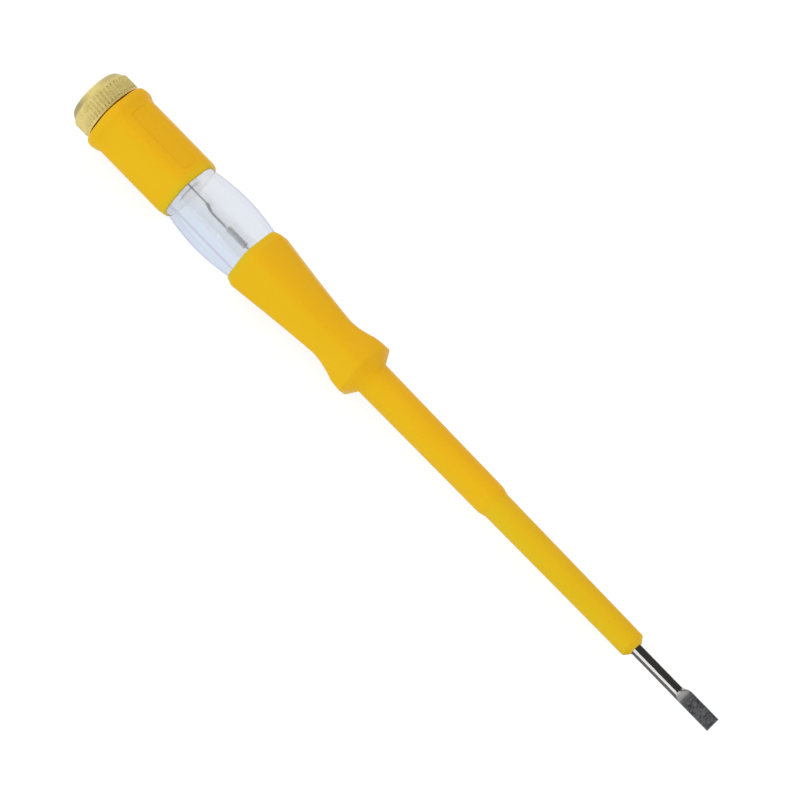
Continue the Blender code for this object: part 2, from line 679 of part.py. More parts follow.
def tube_mesh(points, radii):
    """A round wire along points, with its radius at each of them, as a closed mesh."""
    curve = bpy.data.curves.new("wire", "CURVE")
    curve.dimensions = "3D"
    curve.bevel_depth = 1.0
    curve.bevel_resolution = WIRE_SIDES
    curve.use_fill_caps = True
    line = curve.splines.new("POLY")
    line.points.add(len(points) - 1)
    for spot, point, radius in zip(line.points, points, radii):
        spot.co = (*point, 1)
        spot.radius = radius
    mesh = evaluated_mesh(bpy.data.objects.new("wire", curve))
    shape = bmesh.new()
    shape.from_mesh(mesh)
    bmesh.ops.remove_doubles(shape, verts=shape.verts, dist=MERGE)
    shape.to_mesh(mesh)
    shape.free()
    return shade(mesh)


def spring_points():
    """The line of the wire from the lamp back to the cap, with closer turns at both ends."""
    length = SPRING_FRONT - SPRING_REAR - 2 * SPRING_WIRE_RADIUS
    middle_turns = SPRING_TURNS - 2 * SPRING_END_TURNS
    middle_pitch = (length - 2 * SPRING_END_TURNS * SPRING_END_PITCH) / middle_turns
    points = []
    depth = SPRING_WIRE_RADIUS
    for i in range(SPRING_TURNS * SPRING_TURN_POINTS + 1):
        turn = i / SPRING_TURN_POINTS
        angle = 2 * pi * turn
        points.append((SPRING_COIL_RADIUS * cos(angle), SPRING_COIL_RADIUS * sin(angle), -depth))
        at_end = turn < SPRING_END_TURNS or turn >= SPRING_TURNS - SPRING_END_TURNS
        depth += (SPRING_END_PITCH if at_end else middle_pitch) / SPRING_TURN_POINTS
    return points


def least_gap(points, radius, apart):
    """The smallest free gap between stretches of one wire that are at least apart points apart."""
    places = [Vector(point) for point in points]
    nearest = min(
        (places[i] - places[j]).length
        for i, j in combinations(range(len(places)), 2)
        if j - i >= apart
    )
    return nearest - 2 * radius


def make_contact_spring(shop):
    points = spring_points()
    gap = least_gap(points, SPRING_WIRE_RADIUS, SPRING_TURN_POINTS // 2)
    print(f"contact_spring: least gap between turns {gap / MM:.2f} mm")
    mesh = tube_mesh(points, [SPRING_WIRE_RADIUS] * len(points))
    shop.add("contact_spring", mesh, SPRING_FRONT, shop.spring_steel)


def make_lamp_glass(shop):
    """The glass tube, its ends drawn in round the holes where the leads pass."""
    inner = GLASS_RADIUS - GLASS_WALL
    hole = GLASS_HOLE_RADIUS
    bend = GLASS_END_ROUNDING
    front_arc = []
    rear_arc = []
    for i in range(ARC_STEPS + 1):
        angle = radians(90) * i / ARC_STEPS
        reach = GLASS_RADIUS - bend + bend * sin(angle)
        front_arc.append((reach, -bend + bend * cos(angle)))
        rear_arc.append((reach, -GLASS_LENGTH + bend - bend * cos(angle)))
    profile = [
        (hole, 0),
        *front_arc,
        *reversed(rear_arc),
        (hole, -GLASS_LENGTH),
        (hole, -GLASS_LENGTH + GLASS_WALL),
        (inner - bend / 2, -GLASS_LENGTH + GLASS_WALL),
        (inner, -GLASS_LENGTH + GLASS_WALL + bend / 2),
        (inner, -GLASS_WALL - bend / 2),
        (inner - bend / 2, -GLASS_WALL),
        (hole, -GLASS_WALL),
    ]
    shop.add("lamp_glass", turned(profile, SMALL_STEPS, closed=True), GLASS_FRONT, shop.glass)


def make_ferrule(shop, name, place, facing):
    """A pressed cup on the end of the glass. It faces the front at +1 and the rear at -1."""
    inner = GLASS_RADIUS + FIT
    outer = inner + FERRULE_WALL
    corner = FERRULE_WALL
    profile = [
        (FERRULE_HOLE_RADIUS, 0),
        (outer - corner, 0),
        (outer, -corner),
        (outer, -FERRULE_LENGTH),
        (inner, -FERRULE_LENGTH),
        (inner, -FERRULE_WALL),
        (FERRULE_HOLE_RADIUS, -FERRULE_WALL),
    ]
    if facing < 0:
        profile = [(radius, -height) for radius, height in reversed(profile)]
    shop.add(name, turned(profile, SMALL_STEPS, closed=True), place, shop.nickel)


def make_solder(shop, name, place, facing):
    """The domed solder that closes a ferrule and carries the contact; its plug meets the lead."""
    plug_end = -FERRULE_WALL - SEAM
    profile = [(0, SOLDER_HEIGHT)]
    for i in range(1, ARC_STEPS + 1):
        angle = radians(90) * i / ARC_STEPS
        profile.append((SOLDER_RADIUS * sin(angle), SEAM + (SOLDER_HEIGHT - SEAM) * cos(angle)))
    profile += [(SOLDER_PLUG_RADIUS, SEAM), (SOLDER_PLUG_RADIUS, plug_end), (0, plug_end)]
    if facing < 0:
        profile = [(radius, -height) for radius, height in reversed(profile)]
    shop.add(name, turned(profile, SMALL_STEPS // 2), place, shop.tin)


def beside_axis(offset, height):
    """A point of the lamp beside its axis, on the side where its electrodes lie."""
    return offset * cos(ELECTRODE_TURN), offset * sin(ELECTRODE_TURN), height


def make_lead(shop, name, place, length, offset, facing):
    """The wire from a ferrule's solder into the glass, bent out to the line of its electrode.

    It runs back from a ferrule that faces the front at +1, and forward from one that faces the rear."""
    points = [beside_axis(0, 0)]
    for i in range(1, LEAD_POINTS + 1):
        share = i / LEAD_POINTS
        points.append(beside_axis(eased(0, offset, share), -facing * LEAD_BEND * share))
    points.append(beside_axis(offset, -facing * length))
    shop.add(name, tube_mesh(points, [LEAD_RADIUS] * len(points)), place, shop.nickel)


def make_rear_electrode(shop):
    """A thin rod near the axis, its root slanted and thicker where it is welded to the lead."""
    points = []
    radii = []
    for i in range(LEAD_POINTS + 1):
        share = i / LEAD_POINTS
        offset = eased(REAR_LEAD_OFFSET, REAR_ELECTRODE_OFFSET, share)
        points.append(beside_axis(offset, REAR_ELECTRODE_BEND * share))
        radii.append(eased(REAR_ELECTRODE_ROOT_RADIUS, REAR_ELECTRODE_RADIUS, share))
    points.append(beside_axis(REAR_ELECTRODE_OFFSET, REAR_ELECTRODE_FRONT - REAR_ELECTRODE_REAR))
    radii.append(REAR_ELECTRODE_RADIUS)
    shop.add("lamp_rear_electrode", tube_mesh(points, radii), REAR_ELECTRODE_REAR, shop.electrode)


def make_front_electrode(shop):
    """A thicker rod with rounded ends, end to end with the rear one."""
    length = FRONT_ELECTRODE_FRONT - FRONT_ELECTRODE_REAR
    inner = FRONT_ELECTRODE_RADIUS - ELECTRODE_ROUNDING
    profile = [
        (0, 0),
        (inner, 0),
        (FRONT_ELECTRODE_RADIUS, -ELECTRODE_ROUNDING),
        (FRONT_ELECTRODE_RADIUS, -length + ELECTRODE_ROUNDING),
        (inner, -length),
        (0, -length),
    ]
    mesh = turned(profile, SMALL_STEPS // 2)
    rod = shop.add("lamp_front_electrode", mesh, FRONT_ELECTRODE_FRONT, shop.electrode)
    rod.location = beside_axis(FRONT_ELECTRODE_OFFSET, FRONT_ELECTRODE_FRONT)


def make_lamp(shop):
    make_lamp_glass(shop)
    make_ferrule(shop, "lamp_front_ferrule", FERRULE_FRONT, 1)
    make_ferrule(shop, "lamp_rear_ferrule", FERRULE_REAR, -1)
    make_solder(shop, "lamp_front_solder", FERRULE_FRONT, 1)
    make_solder(shop, "lamp_rear_solder", FERRULE_REAR, -1)
    front_start = FERRULE_FRONT - FERRULE_WALL - 2 * SEAM
    rear_start = FERRULE_REAR + FERRULE_WALL + 2 * SEAM
    front_length = front_start - FRONT_ELECTRODE_FRONT - SEAM
    rear_length = REAR_ELECTRODE_REAR - SEAM - rear_start
    make_lead(shop, "lamp_front_lead", front_start, front_length, FRONT_ELECTRODE_OFFSET, 1)
    make_lead(shop, "lamp_rear_lead", rear_start, rear_length, REAR_LEAD_OFFSET, -1)
    make_front_electrode(shop)
    make_rear_electrode(shop)


def make_end_cap(shop, name, place, facing):
    """A pressed cup on the end of the resistor rod."""
    inner = ROD_RADIUS + FIT
    outer = inner + END_CAP_WALL
    corner = outer - END_CAP_ROUNDING
    bottom = END_CAP_WALL
    profile = [
        (0, 0),
        (corner, 0),
        (outer, -END_CAP_ROUNDING),
        (outer, -END_CAP_LENGTH),
        (inner, -END_CAP_LENGTH),
        (inner, -bottom),
        (0, -bottom),
    ]
    if facing < 0:
        profile = [(radius, -height) for radius, height in reversed(profile)]
    shop.add(name, turned(profile, SMALL_STEPS), place, shop.brass)


def make_resistor(shop):
    end = ROD_RADIUS - ROD_CHAMFER
    profile = [
        (0, 0),
        (end, 0),
        (ROD_RADIUS, -ROD_CHAMFER),
        (ROD_RADIUS, -ROD_LENGTH + ROD_CHAMFER),
        (end, -ROD_LENGTH),
        (0, -ROD_LENGTH),
    ]
    shop.add("resistor_rod", turned(profile, SMALL_STEPS), ROD_FRONT, shop.ceramic)
    make_end_cap(shop, "resistor_front_cap", RESISTOR_FRONT, 1)
    make_end_cap(shop, "resistor_rear_cap", RESISTOR_REAR, -1)


def main():
    remove_everything()
    shop = Workshop()
    make_blade(shop)
    make_tip_sleeve(shop)
    make_nose_sleeve(shop)
    make_front_grip(shop)
    make_window_barrel(shop)
    make_rear_grip(shop)
    make_contact_cap(shop)
    make_threaded_bush(shop)
    make_contact_spring(shop)
    make_lamp(shop)
    make_resistor(shop)


main()
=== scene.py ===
"""A mains voltage tester screwdriver: its finished pieces, their materials and a plain studio.

The tool lies along X with its blade tip at the origin and +Z up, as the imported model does.
Run it as a script; it registers its operators, calls them in order and keeps the sizes.
"""

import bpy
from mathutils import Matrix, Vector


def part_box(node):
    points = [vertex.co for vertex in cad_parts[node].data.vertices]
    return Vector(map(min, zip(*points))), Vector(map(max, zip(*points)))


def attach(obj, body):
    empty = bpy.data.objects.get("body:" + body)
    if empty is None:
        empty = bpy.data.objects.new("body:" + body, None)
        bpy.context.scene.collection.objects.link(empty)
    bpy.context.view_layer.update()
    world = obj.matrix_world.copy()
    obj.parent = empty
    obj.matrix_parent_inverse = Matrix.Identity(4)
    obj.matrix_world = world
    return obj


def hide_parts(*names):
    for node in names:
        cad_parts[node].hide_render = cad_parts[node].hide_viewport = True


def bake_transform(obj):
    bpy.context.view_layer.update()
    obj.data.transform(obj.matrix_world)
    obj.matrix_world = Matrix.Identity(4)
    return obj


bl_info = {
    "name": "Voltage Tester Screwdriver",
    "version": (1, 0, 0),
    "blender": (4, 5, 0),
    "location": "3D View > Sidebar > Tester",
    "description": "Makes the pieces, the materials and the studio of a voltage tester screwdriver",
    "category": "Object",
}

from math import cos, hypot, pi, radians, sin, sqrt, tan

import bmesh
import bpy
from bpy.props import FloatProperty, FloatVectorProperty, IntProperty, PointerProperty
from mathutils import Matrix, Vector

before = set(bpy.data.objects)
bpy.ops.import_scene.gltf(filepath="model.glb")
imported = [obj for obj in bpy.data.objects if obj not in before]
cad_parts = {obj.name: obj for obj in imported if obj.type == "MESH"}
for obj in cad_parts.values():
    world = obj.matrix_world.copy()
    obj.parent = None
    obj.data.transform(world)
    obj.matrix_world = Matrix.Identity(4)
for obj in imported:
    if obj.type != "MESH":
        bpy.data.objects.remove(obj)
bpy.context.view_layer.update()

MM = 0.001
MERGE = 0.0005 * MM
FACETS = 6
SECTOR = 2 * pi / FACETS
HANDLE, SPRING, CAP = "handle", "spring", "cap"
# The middle of the tool, which the floor, the soft boxes and the camera are set round.
MIDDLE = Vector((-95 * MM, 0, 0))
# The middle of the clear window, and how far from it the painted light on the grips' rims starts and is full.
WINDOW_MIDDLE = -150.5 * MM
RIM_LIGHT_START, RIM_LIGHT_FULL = 11.8 * MM, 9.9 * MM
# The photograph's side in pixels, and how far its middle lies from the camera's aim.
PHOTO_SIDE = 800
PHOTO_SHIFT = (-1.54, 8.25)
# Distances across the tool count from its axis towards the far side, along a line tilted like the facets
# or, on the round cap, square to the view; the painted shade and painted tints of the far and near sides lie
# along them. Each pair holds the shares of Y and Z.
FACET_TILT = (1.0, 0.5)
CAP_TILT = (0.885, 0.465)


def rear_of(node):
    """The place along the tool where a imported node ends, towards the cap."""
    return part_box(node)[0].x


def front_of(node):
    """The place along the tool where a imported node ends, towards the tip."""
    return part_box(node)[1].x


def length(name, default, description):
    """A length, its default given in millimetres."""
    return FloatProperty(name=name, default=default * MM, min=0.0, precision=5,
                         unit="LENGTH", subtype="DISTANCE", description=description)


def angle(name, default, description):
    return FloatProperty(name=name, default=radians(default), subtype="ANGLE", description=description)


def number(name, default, description):
    return IntProperty(name=name, default=default, min=1, description=description)


def factor(name, default, description):
    return FloatProperty(name=name, default=default, min=0.0, description=description)


def colour(name, default, description):
    return FloatVectorProperty(name=name, default=default, size=3, min=0.0, max=1.0,
                               subtype="COLOR", description=description)


class BladeSizes(bpy.types.PropertyGroup):
    bar: length("Bar", 2.8, "Diameter of the round bar")
    width: length("Tip width", 3.4, "Width of the slotted-screw tip")
    thickness: length("Tip thickness", 0.7, "Thickness of the tip at its end")
    root: length("Root thickness", 1.2, "Thickness of the flat where it leaves the flare")
    shift: length("Side shift", 0.3, "How far the flat is forged to one side of the bar")
    flat: length("Flat length", 8.1, "Length of the flat")
    flare: length("Flare length", 2.1, "Length over which the bar turns into the flat")
    chamfer: length("Rear chamfer", 0.3, "Chamfer of the bar's rear end")
    turn: angle("Turn", 30, "Turn of the flat about the tool's axis")
    wing_span: length("Wing span", 4.6, "Width over the two wings that stop the bar turning")
    wing_thickness: length("Wing thickness", 1.0, "Thickness of a wing")
    wing_length: length("Wing length", 4.0, "Length of the wings")
    wing_from_rear: length("Wings from rear", 6.15, "From the bar's rear end to the wings")


class SleeveSizes(bpy.types.PropertyGroup):
    bore: length("Bore", 1.43, "Radius of the hole for the bar")
    lap: length("Lap", 0.15, "How far the nose sleeve's thin end laps over the tip sleeve")
    tip_lip: length("Tip lip", 0.1, "Width of the flat lip at the thin sleeve's front")
    tip_front: length("Thin sleeve front", 2.97, "Radius of the thin sleeve behind its chamfer")
    tip_rear: length("Thin sleeve rear", 3.26, "Radius of the thin sleeve at its rear")
    tip_chamfer: length("Thin sleeve chamfer", 1.15, "Length of the chamfer at the front")
    tip_tail: length("Thin sleeve tail", 6.0, "Length of the tail inside the thick sleeve")
    tip_tail_radius: length("Thin tail radius", 2.5, "Radius of that tail")
    nose_front: length("Thick sleeve front", 3.73, "Radius of the thick sleeve behind its shoulder")
    nose_rear: length("Thick sleeve rear", 4.0, "Radius of the thick sleeve at the grip")
    nose_shoulder: length("Shoulder", 1.6, "Length of the rounded shoulder")
    nose_tail: length("Thick sleeve tail", 8.0, "Length of the tail inside the grip")
    nose_tail_radius: length("Thick tail radius", 3.3, "Radius of that tail")


class GripSizes(bpy.types.PropertyGroup):
    nose: length("Front opening", 4.05, "Radius of the grip where it meets the sleeve")
    cone: length("Cone", 2.35, "Length of the cone in front of the collar")
    collar: length("Collar length", 3.0, "Length of the guard collar")
    collar_front: length("Collar front", 6.74, "Half across flats at the collar's front edge")
    collar_rear: length("Collar rear", 6.5, "Half across flats at the collar's rear edge")
    flare: length("Flare length", 7.0, "Length of the hollow behind the collar")
    waist: length("Waist", 5.13, "Half across flats at the waist")
    taper: length("Taper length", 22.6, "Length from the waist to the shoulder")
    shoulder: length("Shoulder", 7.53, "Half across flats at the shoulder")
    chamfer: length("Rear chamfer", 1.75, "Length of the chamfer at the rear end")
    front_lap: length("Front lap", 0.3, "How far the grip's thin front end laps over the sleeve")
    rear_lap: length("Rear lap", 0.14, "How far the grip's rear end laps over the window")
    end_gap: length("End gap", 0.15, "Room in front of the barrel and behind the sleeve, inside the grip")
    rear: length("Rear end", 6.9, "Half across flats at the rear end")
    edge: length("Edge radius", 2.3, "Rounding of the six edges")
    rear_edge: length("Rear edge radius", 2.9, "Rounding of the six edges at the rear end")
    rear_grip_half: length("Rear grip", 7.5, "Half across the rear grip's flats")
    rear_grip_front: length("Rear grip front", 6.7, "Half across flats at the rear grip's rim")
    rear_grip_edge: length("Rear grip edges", 3.0, "Rounding of the rear grip's six edges")
    rear_grip_setback: length("Rear grip setback", 0.4, "From the packed rim back to this one")
    rear_grip_rim: length("Rim rounding", 1.8, "Length of the rounded rim")
    lip: length("Lip", 8.2, "Half across the flats of the lip")
    lip_end: length("Lip end", 7.45, "Half across flats at the lip's end face")
    lip_edge: length("Lip edges", 5.2, "Rounding of the lip's six edges")
    lip_rounding: length("Lip rounding", 1.3, "Length of the lip's rounded end")
    lip_crest: length("Lip crest", 0.2, "Length of the lip's widest part")
    lip_flank: length("Lip flank", 2.0, "Length over which the lip falls to the grip")
    panel_length: length("Panel length", 16.8, "Length of the sunk panel")
    panel_width: length("Panel width", 4.1, "Width of the sunk panel")
    panel_depth: length("Panel depth", 0.28, "Depth of the sunk panel")
    panel_corner: length("Panel corner", 0.8, "Corner radius of the sunk panel")
    panel_shift: length("Panel side shift", 0.85, "How far the panel lies off its facet's middle")
    panel_gap: length("Panel gap", 0.3, "From the lip's flank to the panel")


class WindowSizes(bpy.types.PropertyGroup):
    end: length("Window end", 6.62, "Half across flats at the window's ends")
    middle: length("Window middle", 7.6, "Half across flats at the window's middle")
    edge: length("Window edges", 4.2, "Rounding of the window's six edges")
    setback: length("Setback", 0.15, "From the packed front grip's rear end back to the window")
    corner: length("Corner", 0.02, "What the window's end edges lose to their rounding")
    length: length("Window length", 19.25, "Length of the window between the grips")
    lamp_seat: length("Lamp seat", 2.45, "Radius of the bore's narrow rear end, behind the lamp's glass")
    cup_seat: length("Cup seat", 2.95, "Radius of the bore's narrow front end, at the front cup")
    lamp_lip: length("Lamp seat length", 0.02, "Length of those narrow ends")
    seam: length("Seam", 0.02, "Gap between the clear middle and the frosted spigots")
    bore: length("Bore", 3.2, "Radius of the bore for the lamp")
    blade_hole: length("Blade hole", 1.5, "Radius of the hole for the blade")
    wall: length("End wall", 2.8, "Thickness of the wall between blade hole and bore")
    spigot_root: length("Front spigot root", 5.6, "Radius of the front spigot at the window")
    spigot_end: length("Front spigot end", 4.2, "Radius of the front spigot at its end")
    rear_spigot: length("Rear spigot", 6.1, "Radius of the rear spigot")
    bush_seat: length("Bush seat", 5.3, "Radius of the seat for the threaded bush")
    bush_depth: length("Bush seat depth", 7.75, "Depth of that seat")
    fit: length("Fit", 0.1, "Gap between pieces that fit into each other")


class CapSizes(bpy.types.PropertyGroup):
    head: length("Head length", 6.2, "Length of the knurled head")
    radius: length("Head radius", 7.45, "Radius over the ribs")
    face: length("Face radius", 6.0, "Radius of the flat face")
    chamfer: length("Chamfer", 2.5, "Length of the chamfer")
    rim: length("Rim", 0.5, "Length of the plain rim in front of the ribs")
    rim_lap: length("Rim lap", 0.08, "How far the rim reaches towards the grip's lip")
    rib_depth: length("Rib depth", 0.22, "Height of the ribs")
    ribs: number("Ribs", 48, "Number of ribs round the head")
    stud: length("Stud radius", 4.0, "Radius over the stud's thread")
    stud_length: length("Stud length", 8.0, "Length of the stud")
    thread: length("Thread depth", 0.5, "Depth of the stud's thread")
    pitch: length("Pitch", 1.0, "Pitch of the thread")
    bore: length("Bore", 2.9, "Radius of the hole for the spring")
    bore_depth: length("Bore depth", 10.2, "Depth of that hole")
    wire: length("Spring wire", 0.275, "Radius of the spring's wire")
    coil: length("Spring coil", 2.3, "Radius of the spring's coil, to the middle of the wire")
    turns: number("Spring turns", 12, "Number of turns of the spring")
    end_pitch: length("End pitch", 1.1, "Pitch of the closed turn at each end")


class LampSizes(bpy.types.PropertyGroup):
    glass: length("Glass radius", 2.5, "Outer radius of the glass tube")
    glass_wall: length("Glass wall", 0.5, "Thickness of the glass")
    glass_in_cup: length("Hidden glass, front", 2.10, "Length of the glass that the front cup covers")
    glass_in_seat: length("Hidden glass, rear", 2.31, "Length that the rear cup and its seat cover")
    glass_floor: length("Glass floor", 0.02, "Thickness of the glass at its ends")
    glass_hole: length("Glass hole", 0.12, "Radius of the holes for the leads")
    cup: length("Cup radius", 2.85, "Outer radius of the pressed cups")
    cup_wall: length("Cup wall", 0.25, "Thickness of the cups")
    cup_length: length("Cup length", 2.6, "Length of the cups")
    lead: length("Lead radius", 0.21, "Radius of the lead wires")
    lead_bend: length("Lead bend", 2.0, "Length over which a lead leaves the axis")
    rear_lead_offset: length("Rear lead offset", 0.8, "Distance of the rear lead from the axis")
    rear_root: length("Weld radius", 0.42, "Radius of the rear electrode's welded root")
    rear_rod: length("Rear electrode radius", 0.29, "Radius of the rear electrode")
    rear_offset: length("Rear electrode offset", 0.15, "Its distance from the axis")
    rear_bend: length("Weld length", 2.2, "Length of its slanted root")
    front_rod: length("Front electrode radius", 0.70, "Radius of the front electrode")
    front_offset: length("Front electrode offset", 0.33, "Its distance from the axis")
    turn: angle("Electrode turn", 126, "Direction in which the electrodes lie off the axis")


class Finishes(bpy.types.PropertyGroup):
    grip: colour("Grip", (0.826, 0.487, 0.0115), "Moulded yellow of the grips")
    # Painted light: the grips' rims beside the window take this lighter colour in place of light coming
    # through the window.
    grip_rim_light: colour("Grip rims", (0.73, 0.52, 0.017), "The grips' thin rims beside the window")
    sleeve: colour("Thin sleeve", (0.772, 0.502, 0.013), "Moulded yellow of the thin sleeve")
    # Painted light and shade: the clear barrel's near side takes a bluer tint and its far side a greyer one.
    clear: colour("Clear barrel", (0.835, 0.87, 0.925), "Tint of the clear barrel on its near side")
    clear_far: colour("Clear barrel, far side", (0.86, 0.88, 0.90), "Its tint on the far side")
    seat: colour("Frosted seat", (0.97, 0.95, 0.88), "The barrel's frosted ends inside the grips")
    mirror: colour("End faces", (0.915, 0.89, 0.86), "Clear end faces seen from inside")
    # Painted shade where the clear barrel is seen aslant and along its mould line.
    clear_edge_shade: colour("Clear barrel edges", (0.66, 0.66, 0.76), "Its tint where it is seen aslant")
    glass: colour("Lamp glass", (1.0, 1.0, 1.0), "Tint of the lamp's glass")
    brass: colour("Brass", (0.78, 0.655, 0.268), "Turned brass")
    nickel: colour("Nickel plate", (0.80, 0.79, 0.77), "Plated steel")
    blasted: colour("Blasted tip", (0.16, 0.16, 0.165), "Dull steel of the tip")
    tin: colour("Solder", (0.62, 0.62, 0.61), "Tin solder")
    electrode: colour("Thin electrode", (0.64, 0.63, 0.63), "Coated wire of the thin electrode")
    rod: colour("Thick electrode", (0.80, 0.78, 0.78), "Coated rod of the thick electrode")
    steel: colour("Spring steel", (0.55, 0.55, 0.56), "Spring wire")
    ceramic: colour("Resistor", (0.42, 0.22, 0.12), "Lacquered resistor rod")


class StudioSettings(bpy.types.PropertyGroup):
    key: factor("Key", 0.26, "Light from the low soft box in front, where 1 lights white to 1")
    rear: factor("Rear", 0.10, "Light from the soft box behind the cap")
    room: factor("Room", 0.92, "Light from all round")
    key_colour: colour("Key colour", (0.40, 1.0, 0.95), "Colour of the front light")
    rear_colour: colour("Rear colour", (1.0, 0.60, 0.60), "Colour of the light behind the cap")
    room_colour: colour("Room colour", (1.0, 0.90, 0.88), "Colour of the light from all round")
    floor: factor("Floor", 0.86, "How pale the floor is to the light")
    floor_shade: factor("Floor shade", 0.3, "How much of the object's shadow the floor shows")
    azimuth: angle("Camera azimuth", 24.569706, "Direction of the camera, from the front towards the tip")
    elevation: angle("Camera elevation", 60, "Height of the camera")
    roll: angle("Camera roll", 24.109, "Roll of the camera")
    distance: length("Camera distance", 4668.966, "From the tool's middle to the camera")
    lens: factor("Lens", 1000, "Focal length of the camera, in millimetres")


def around(place, radius, turn):
    """A point beside the tool's axis. A turn of zero is on top and a quarter turn on the near side."""
    return Vector((place, -radius * sin(turn), radius * cos(turn)))


def direction(azimuth, elevation):
    """The direction towards an eye, from the near side round towards the tip and up."""
    level = cos(elevation)
    return Vector((sin(azimuth) * level, -cos(azimuth) * level, sin(elevation)))


def facet_reach(turn, half, edge):
    """Distance from the axis to a hexagon with rounded edges, a turn away from a flat's middle."""
    away = abs((turn + SECTOR / 2) % SECTOR - SECTOR / 2)
    if half * tan(away) <= (half - edge) * tan(SECTOR / 2):
        return half / cos(away)
    centre = (half - edge) / cos(SECTOR / 2)
    from_corner = SECTOR / 2 - away
    return centre * cos(from_corner) + sqrt(edge ** 2 - (centre * sin(from_corner)) ** 2)


def even_turns(sides):
    return [2 * pi * i / sides for i in range(sides)]


def shares(steps):
    return [i / steps for i in range(steps + 1)]


def partway(start, stop, share):
    return start + (stop - start) * share


def eased(start, stop, share):
    return partway(start, stop, share * share * (3 - 2 * share))


def softened(corners, closed=True, steps=5):
    """Rounds the corners of a line. A corner is (place, half, edge, cut), cut being what it loses."""
    line = []
    count = len(corners)
    for i, (place, half, edge, cut) in enumerate(corners):
        here = Vector((place, half, edge))
        at_end = not closed and i in (0, count - 1)
        if at_end or cut == 0:
            line.append(here)
            continue
        before = Vector(corners[i - 1][:3])
        after = Vector(corners[(i + 1) % count][:3])
        start = here + (before - here) * min(0.45, cut / max((before - here).xy.length, MERGE))
        stop = here + (after - here) * min(0.45, cut / max((after - here).xy.length, MERGE))
        for share in shares(steps):
            line.append(start * (1 - share) ** 2 + here * 2 * share * (1 - share) + stop * share ** 2)
    return line


def round_corner(place, radius, cut=0.0):
    return (place, radius, radius, cut)


def turned(*corners, closed=True):
    """The softened line of a round piece. A corner is (place, radius), or (place, radius, cut)."""
    return softened([round_corner(*corner) for corner in corners], closed)


def join(shape, pairs):
    """Joins pairs of rings of equally many vertices."""
    for low, high in pairs:
        for i in range(len(low)):
            j = (i + 1) % len(low)
            shape.faces.new((low[i], low[j], high[j], high[i]))


def bridge(shape, rings):
    """Joins rings of vertices in their order and closes both ends."""
    join(shape, zip(rings, rings[1:]))
    shape.faces.new(rings[0])
    shape.faces.new(rings[-1])


def skin(rings, closed=True, smooth=35):
    """A mesh through rings of equally many points; a closed one joins its last ring to its first."""
    shape = bmesh.new()
    loops = [[shape.verts.new(point) for point in ring] for ring in rings]
    pairs = list(zip(loops, loops[1:]))
    if closed:
        pairs.append((loops[-1], loops[0]))
    else:
        shape.faces.new(loops[0])
        shape.faces.new(reversed(loops[-1]))
    join(shape, pairs)
    return settled(shape, smooth)


def plain(shape):
    """The mesh of a shape as it is."""
    mesh = bpy.data.meshes.new("mesh")
    shape.to_mesh(mesh)
    shape.free()
    return mesh


def settled(shape, smooth=35):
    """Closes poles and seams, turns the faces outwards and shades the mesh."""
    bmesh.ops.remove_doubles(shape, verts=shape.verts, dist=MERGE)
    bmesh.ops.recalc_face_normals(shape, faces=shape.faces)
    mesh = plain(shape)
    mesh.shade_smooth()
    mesh.set_sharp_from_angle(angle=radians(smooth))
    return mesh


def shell(line, sides=96, closed=True):
    """A faceted or round shell along the tool, through the points of a softened line."""
    turns = even_turns(sides)
    return skin([[around(p.x, facet_reach(t, p.y, min(p.z, p.y)), t) for t in turns] for p in line], closed)


def wire(points, radii, sides=12):
    """A round wire along points, its radius given at each point."""
    shape = bmesh.new()
    rings = []
    side = None
    for i, (point, radius) in enumerate(zip(points, radii)):
        ahead = (points[min(i + 1, len(points) - 1)] - points[max(i - 1, 0)]).normalized()
        side = ahead.orthogonal() if side is None else side - ahead * side.dot(ahead)
        side.normalize()
        up = ahead.cross(side)
        rings.append([shape.verts.new(point + radius * (side * cos(t) + up * sin(t)))
                      for t in even_turns(sides)])
    bridge(shape, rings)
    return settled(shape)


def put(name, mesh, finish):
    """Adds a piece with its place in its mesh and its finish."""
    piece = bpy.data.objects.new(name, mesh)
    bpy.context.scene.collection.objects.link(piece)
    piece.data.materials.clear()
    piece.data.materials.append(finish)
    return piece


def mount(name, mesh, finish, body, slot, *nodes):
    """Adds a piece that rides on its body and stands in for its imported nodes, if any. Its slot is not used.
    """
    piece = put(name, mesh, Shelf.take(finish))
    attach(piece, body)
    if nodes:
        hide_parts(*nodes)


class Nodes:
    """Nodes under construction. What goes into a socket is a value or another socket."""

    def __init__(self, tree, family):
        self.nodes = tree.nodes
        self.links = tree.links
        self.family = family

    def node(self, kind, *inputs, family=None, **settings):
        made = self.nodes.new((family or self.family) + kind)
        for key, value in settings.items():
            setattr(made, key, value)
        for socket, value in inputs:
            self.feed(made.inputs[socket], value)
        return made

    def feed(self, socket, value):
        if isinstance(value, bpy.types.NodeSocket):
            self.links.new(value, socket)
        else:
            socket.default_value = value

    def math(self, operation, *values):
        return self.node("Math", *enumerate(values), family="ShaderNode", operation=operation).outputs[0]

    def plus(self, one, other):
        return self.math("ADD", one, other)

    def minus(self, one, other):
        return self.math("SUBTRACT", one, other)

    def times(self, one, other):
        return self.math("MULTIPLY", one, other)

    def vector(self, x, y, z):
        return self.node("CombineXYZ", (0, x), (1, y), (2, z), family="ShaderNode").outputs[0]

    def blend(self, share, one, other):
        """Blends two colours. The Mix node keeps its colour sockets behind those for numbers."""
        colours = [(*tone, 1.0) if isinstance(tone, tuple) else tone for tone in (one, other)]
        made = self.node("Mix", ("Factor", share), (6, colours[0]), (7, colours[1]), family="ShaderNode",
                         data_type="RGBA")
        return made.outputs[2]


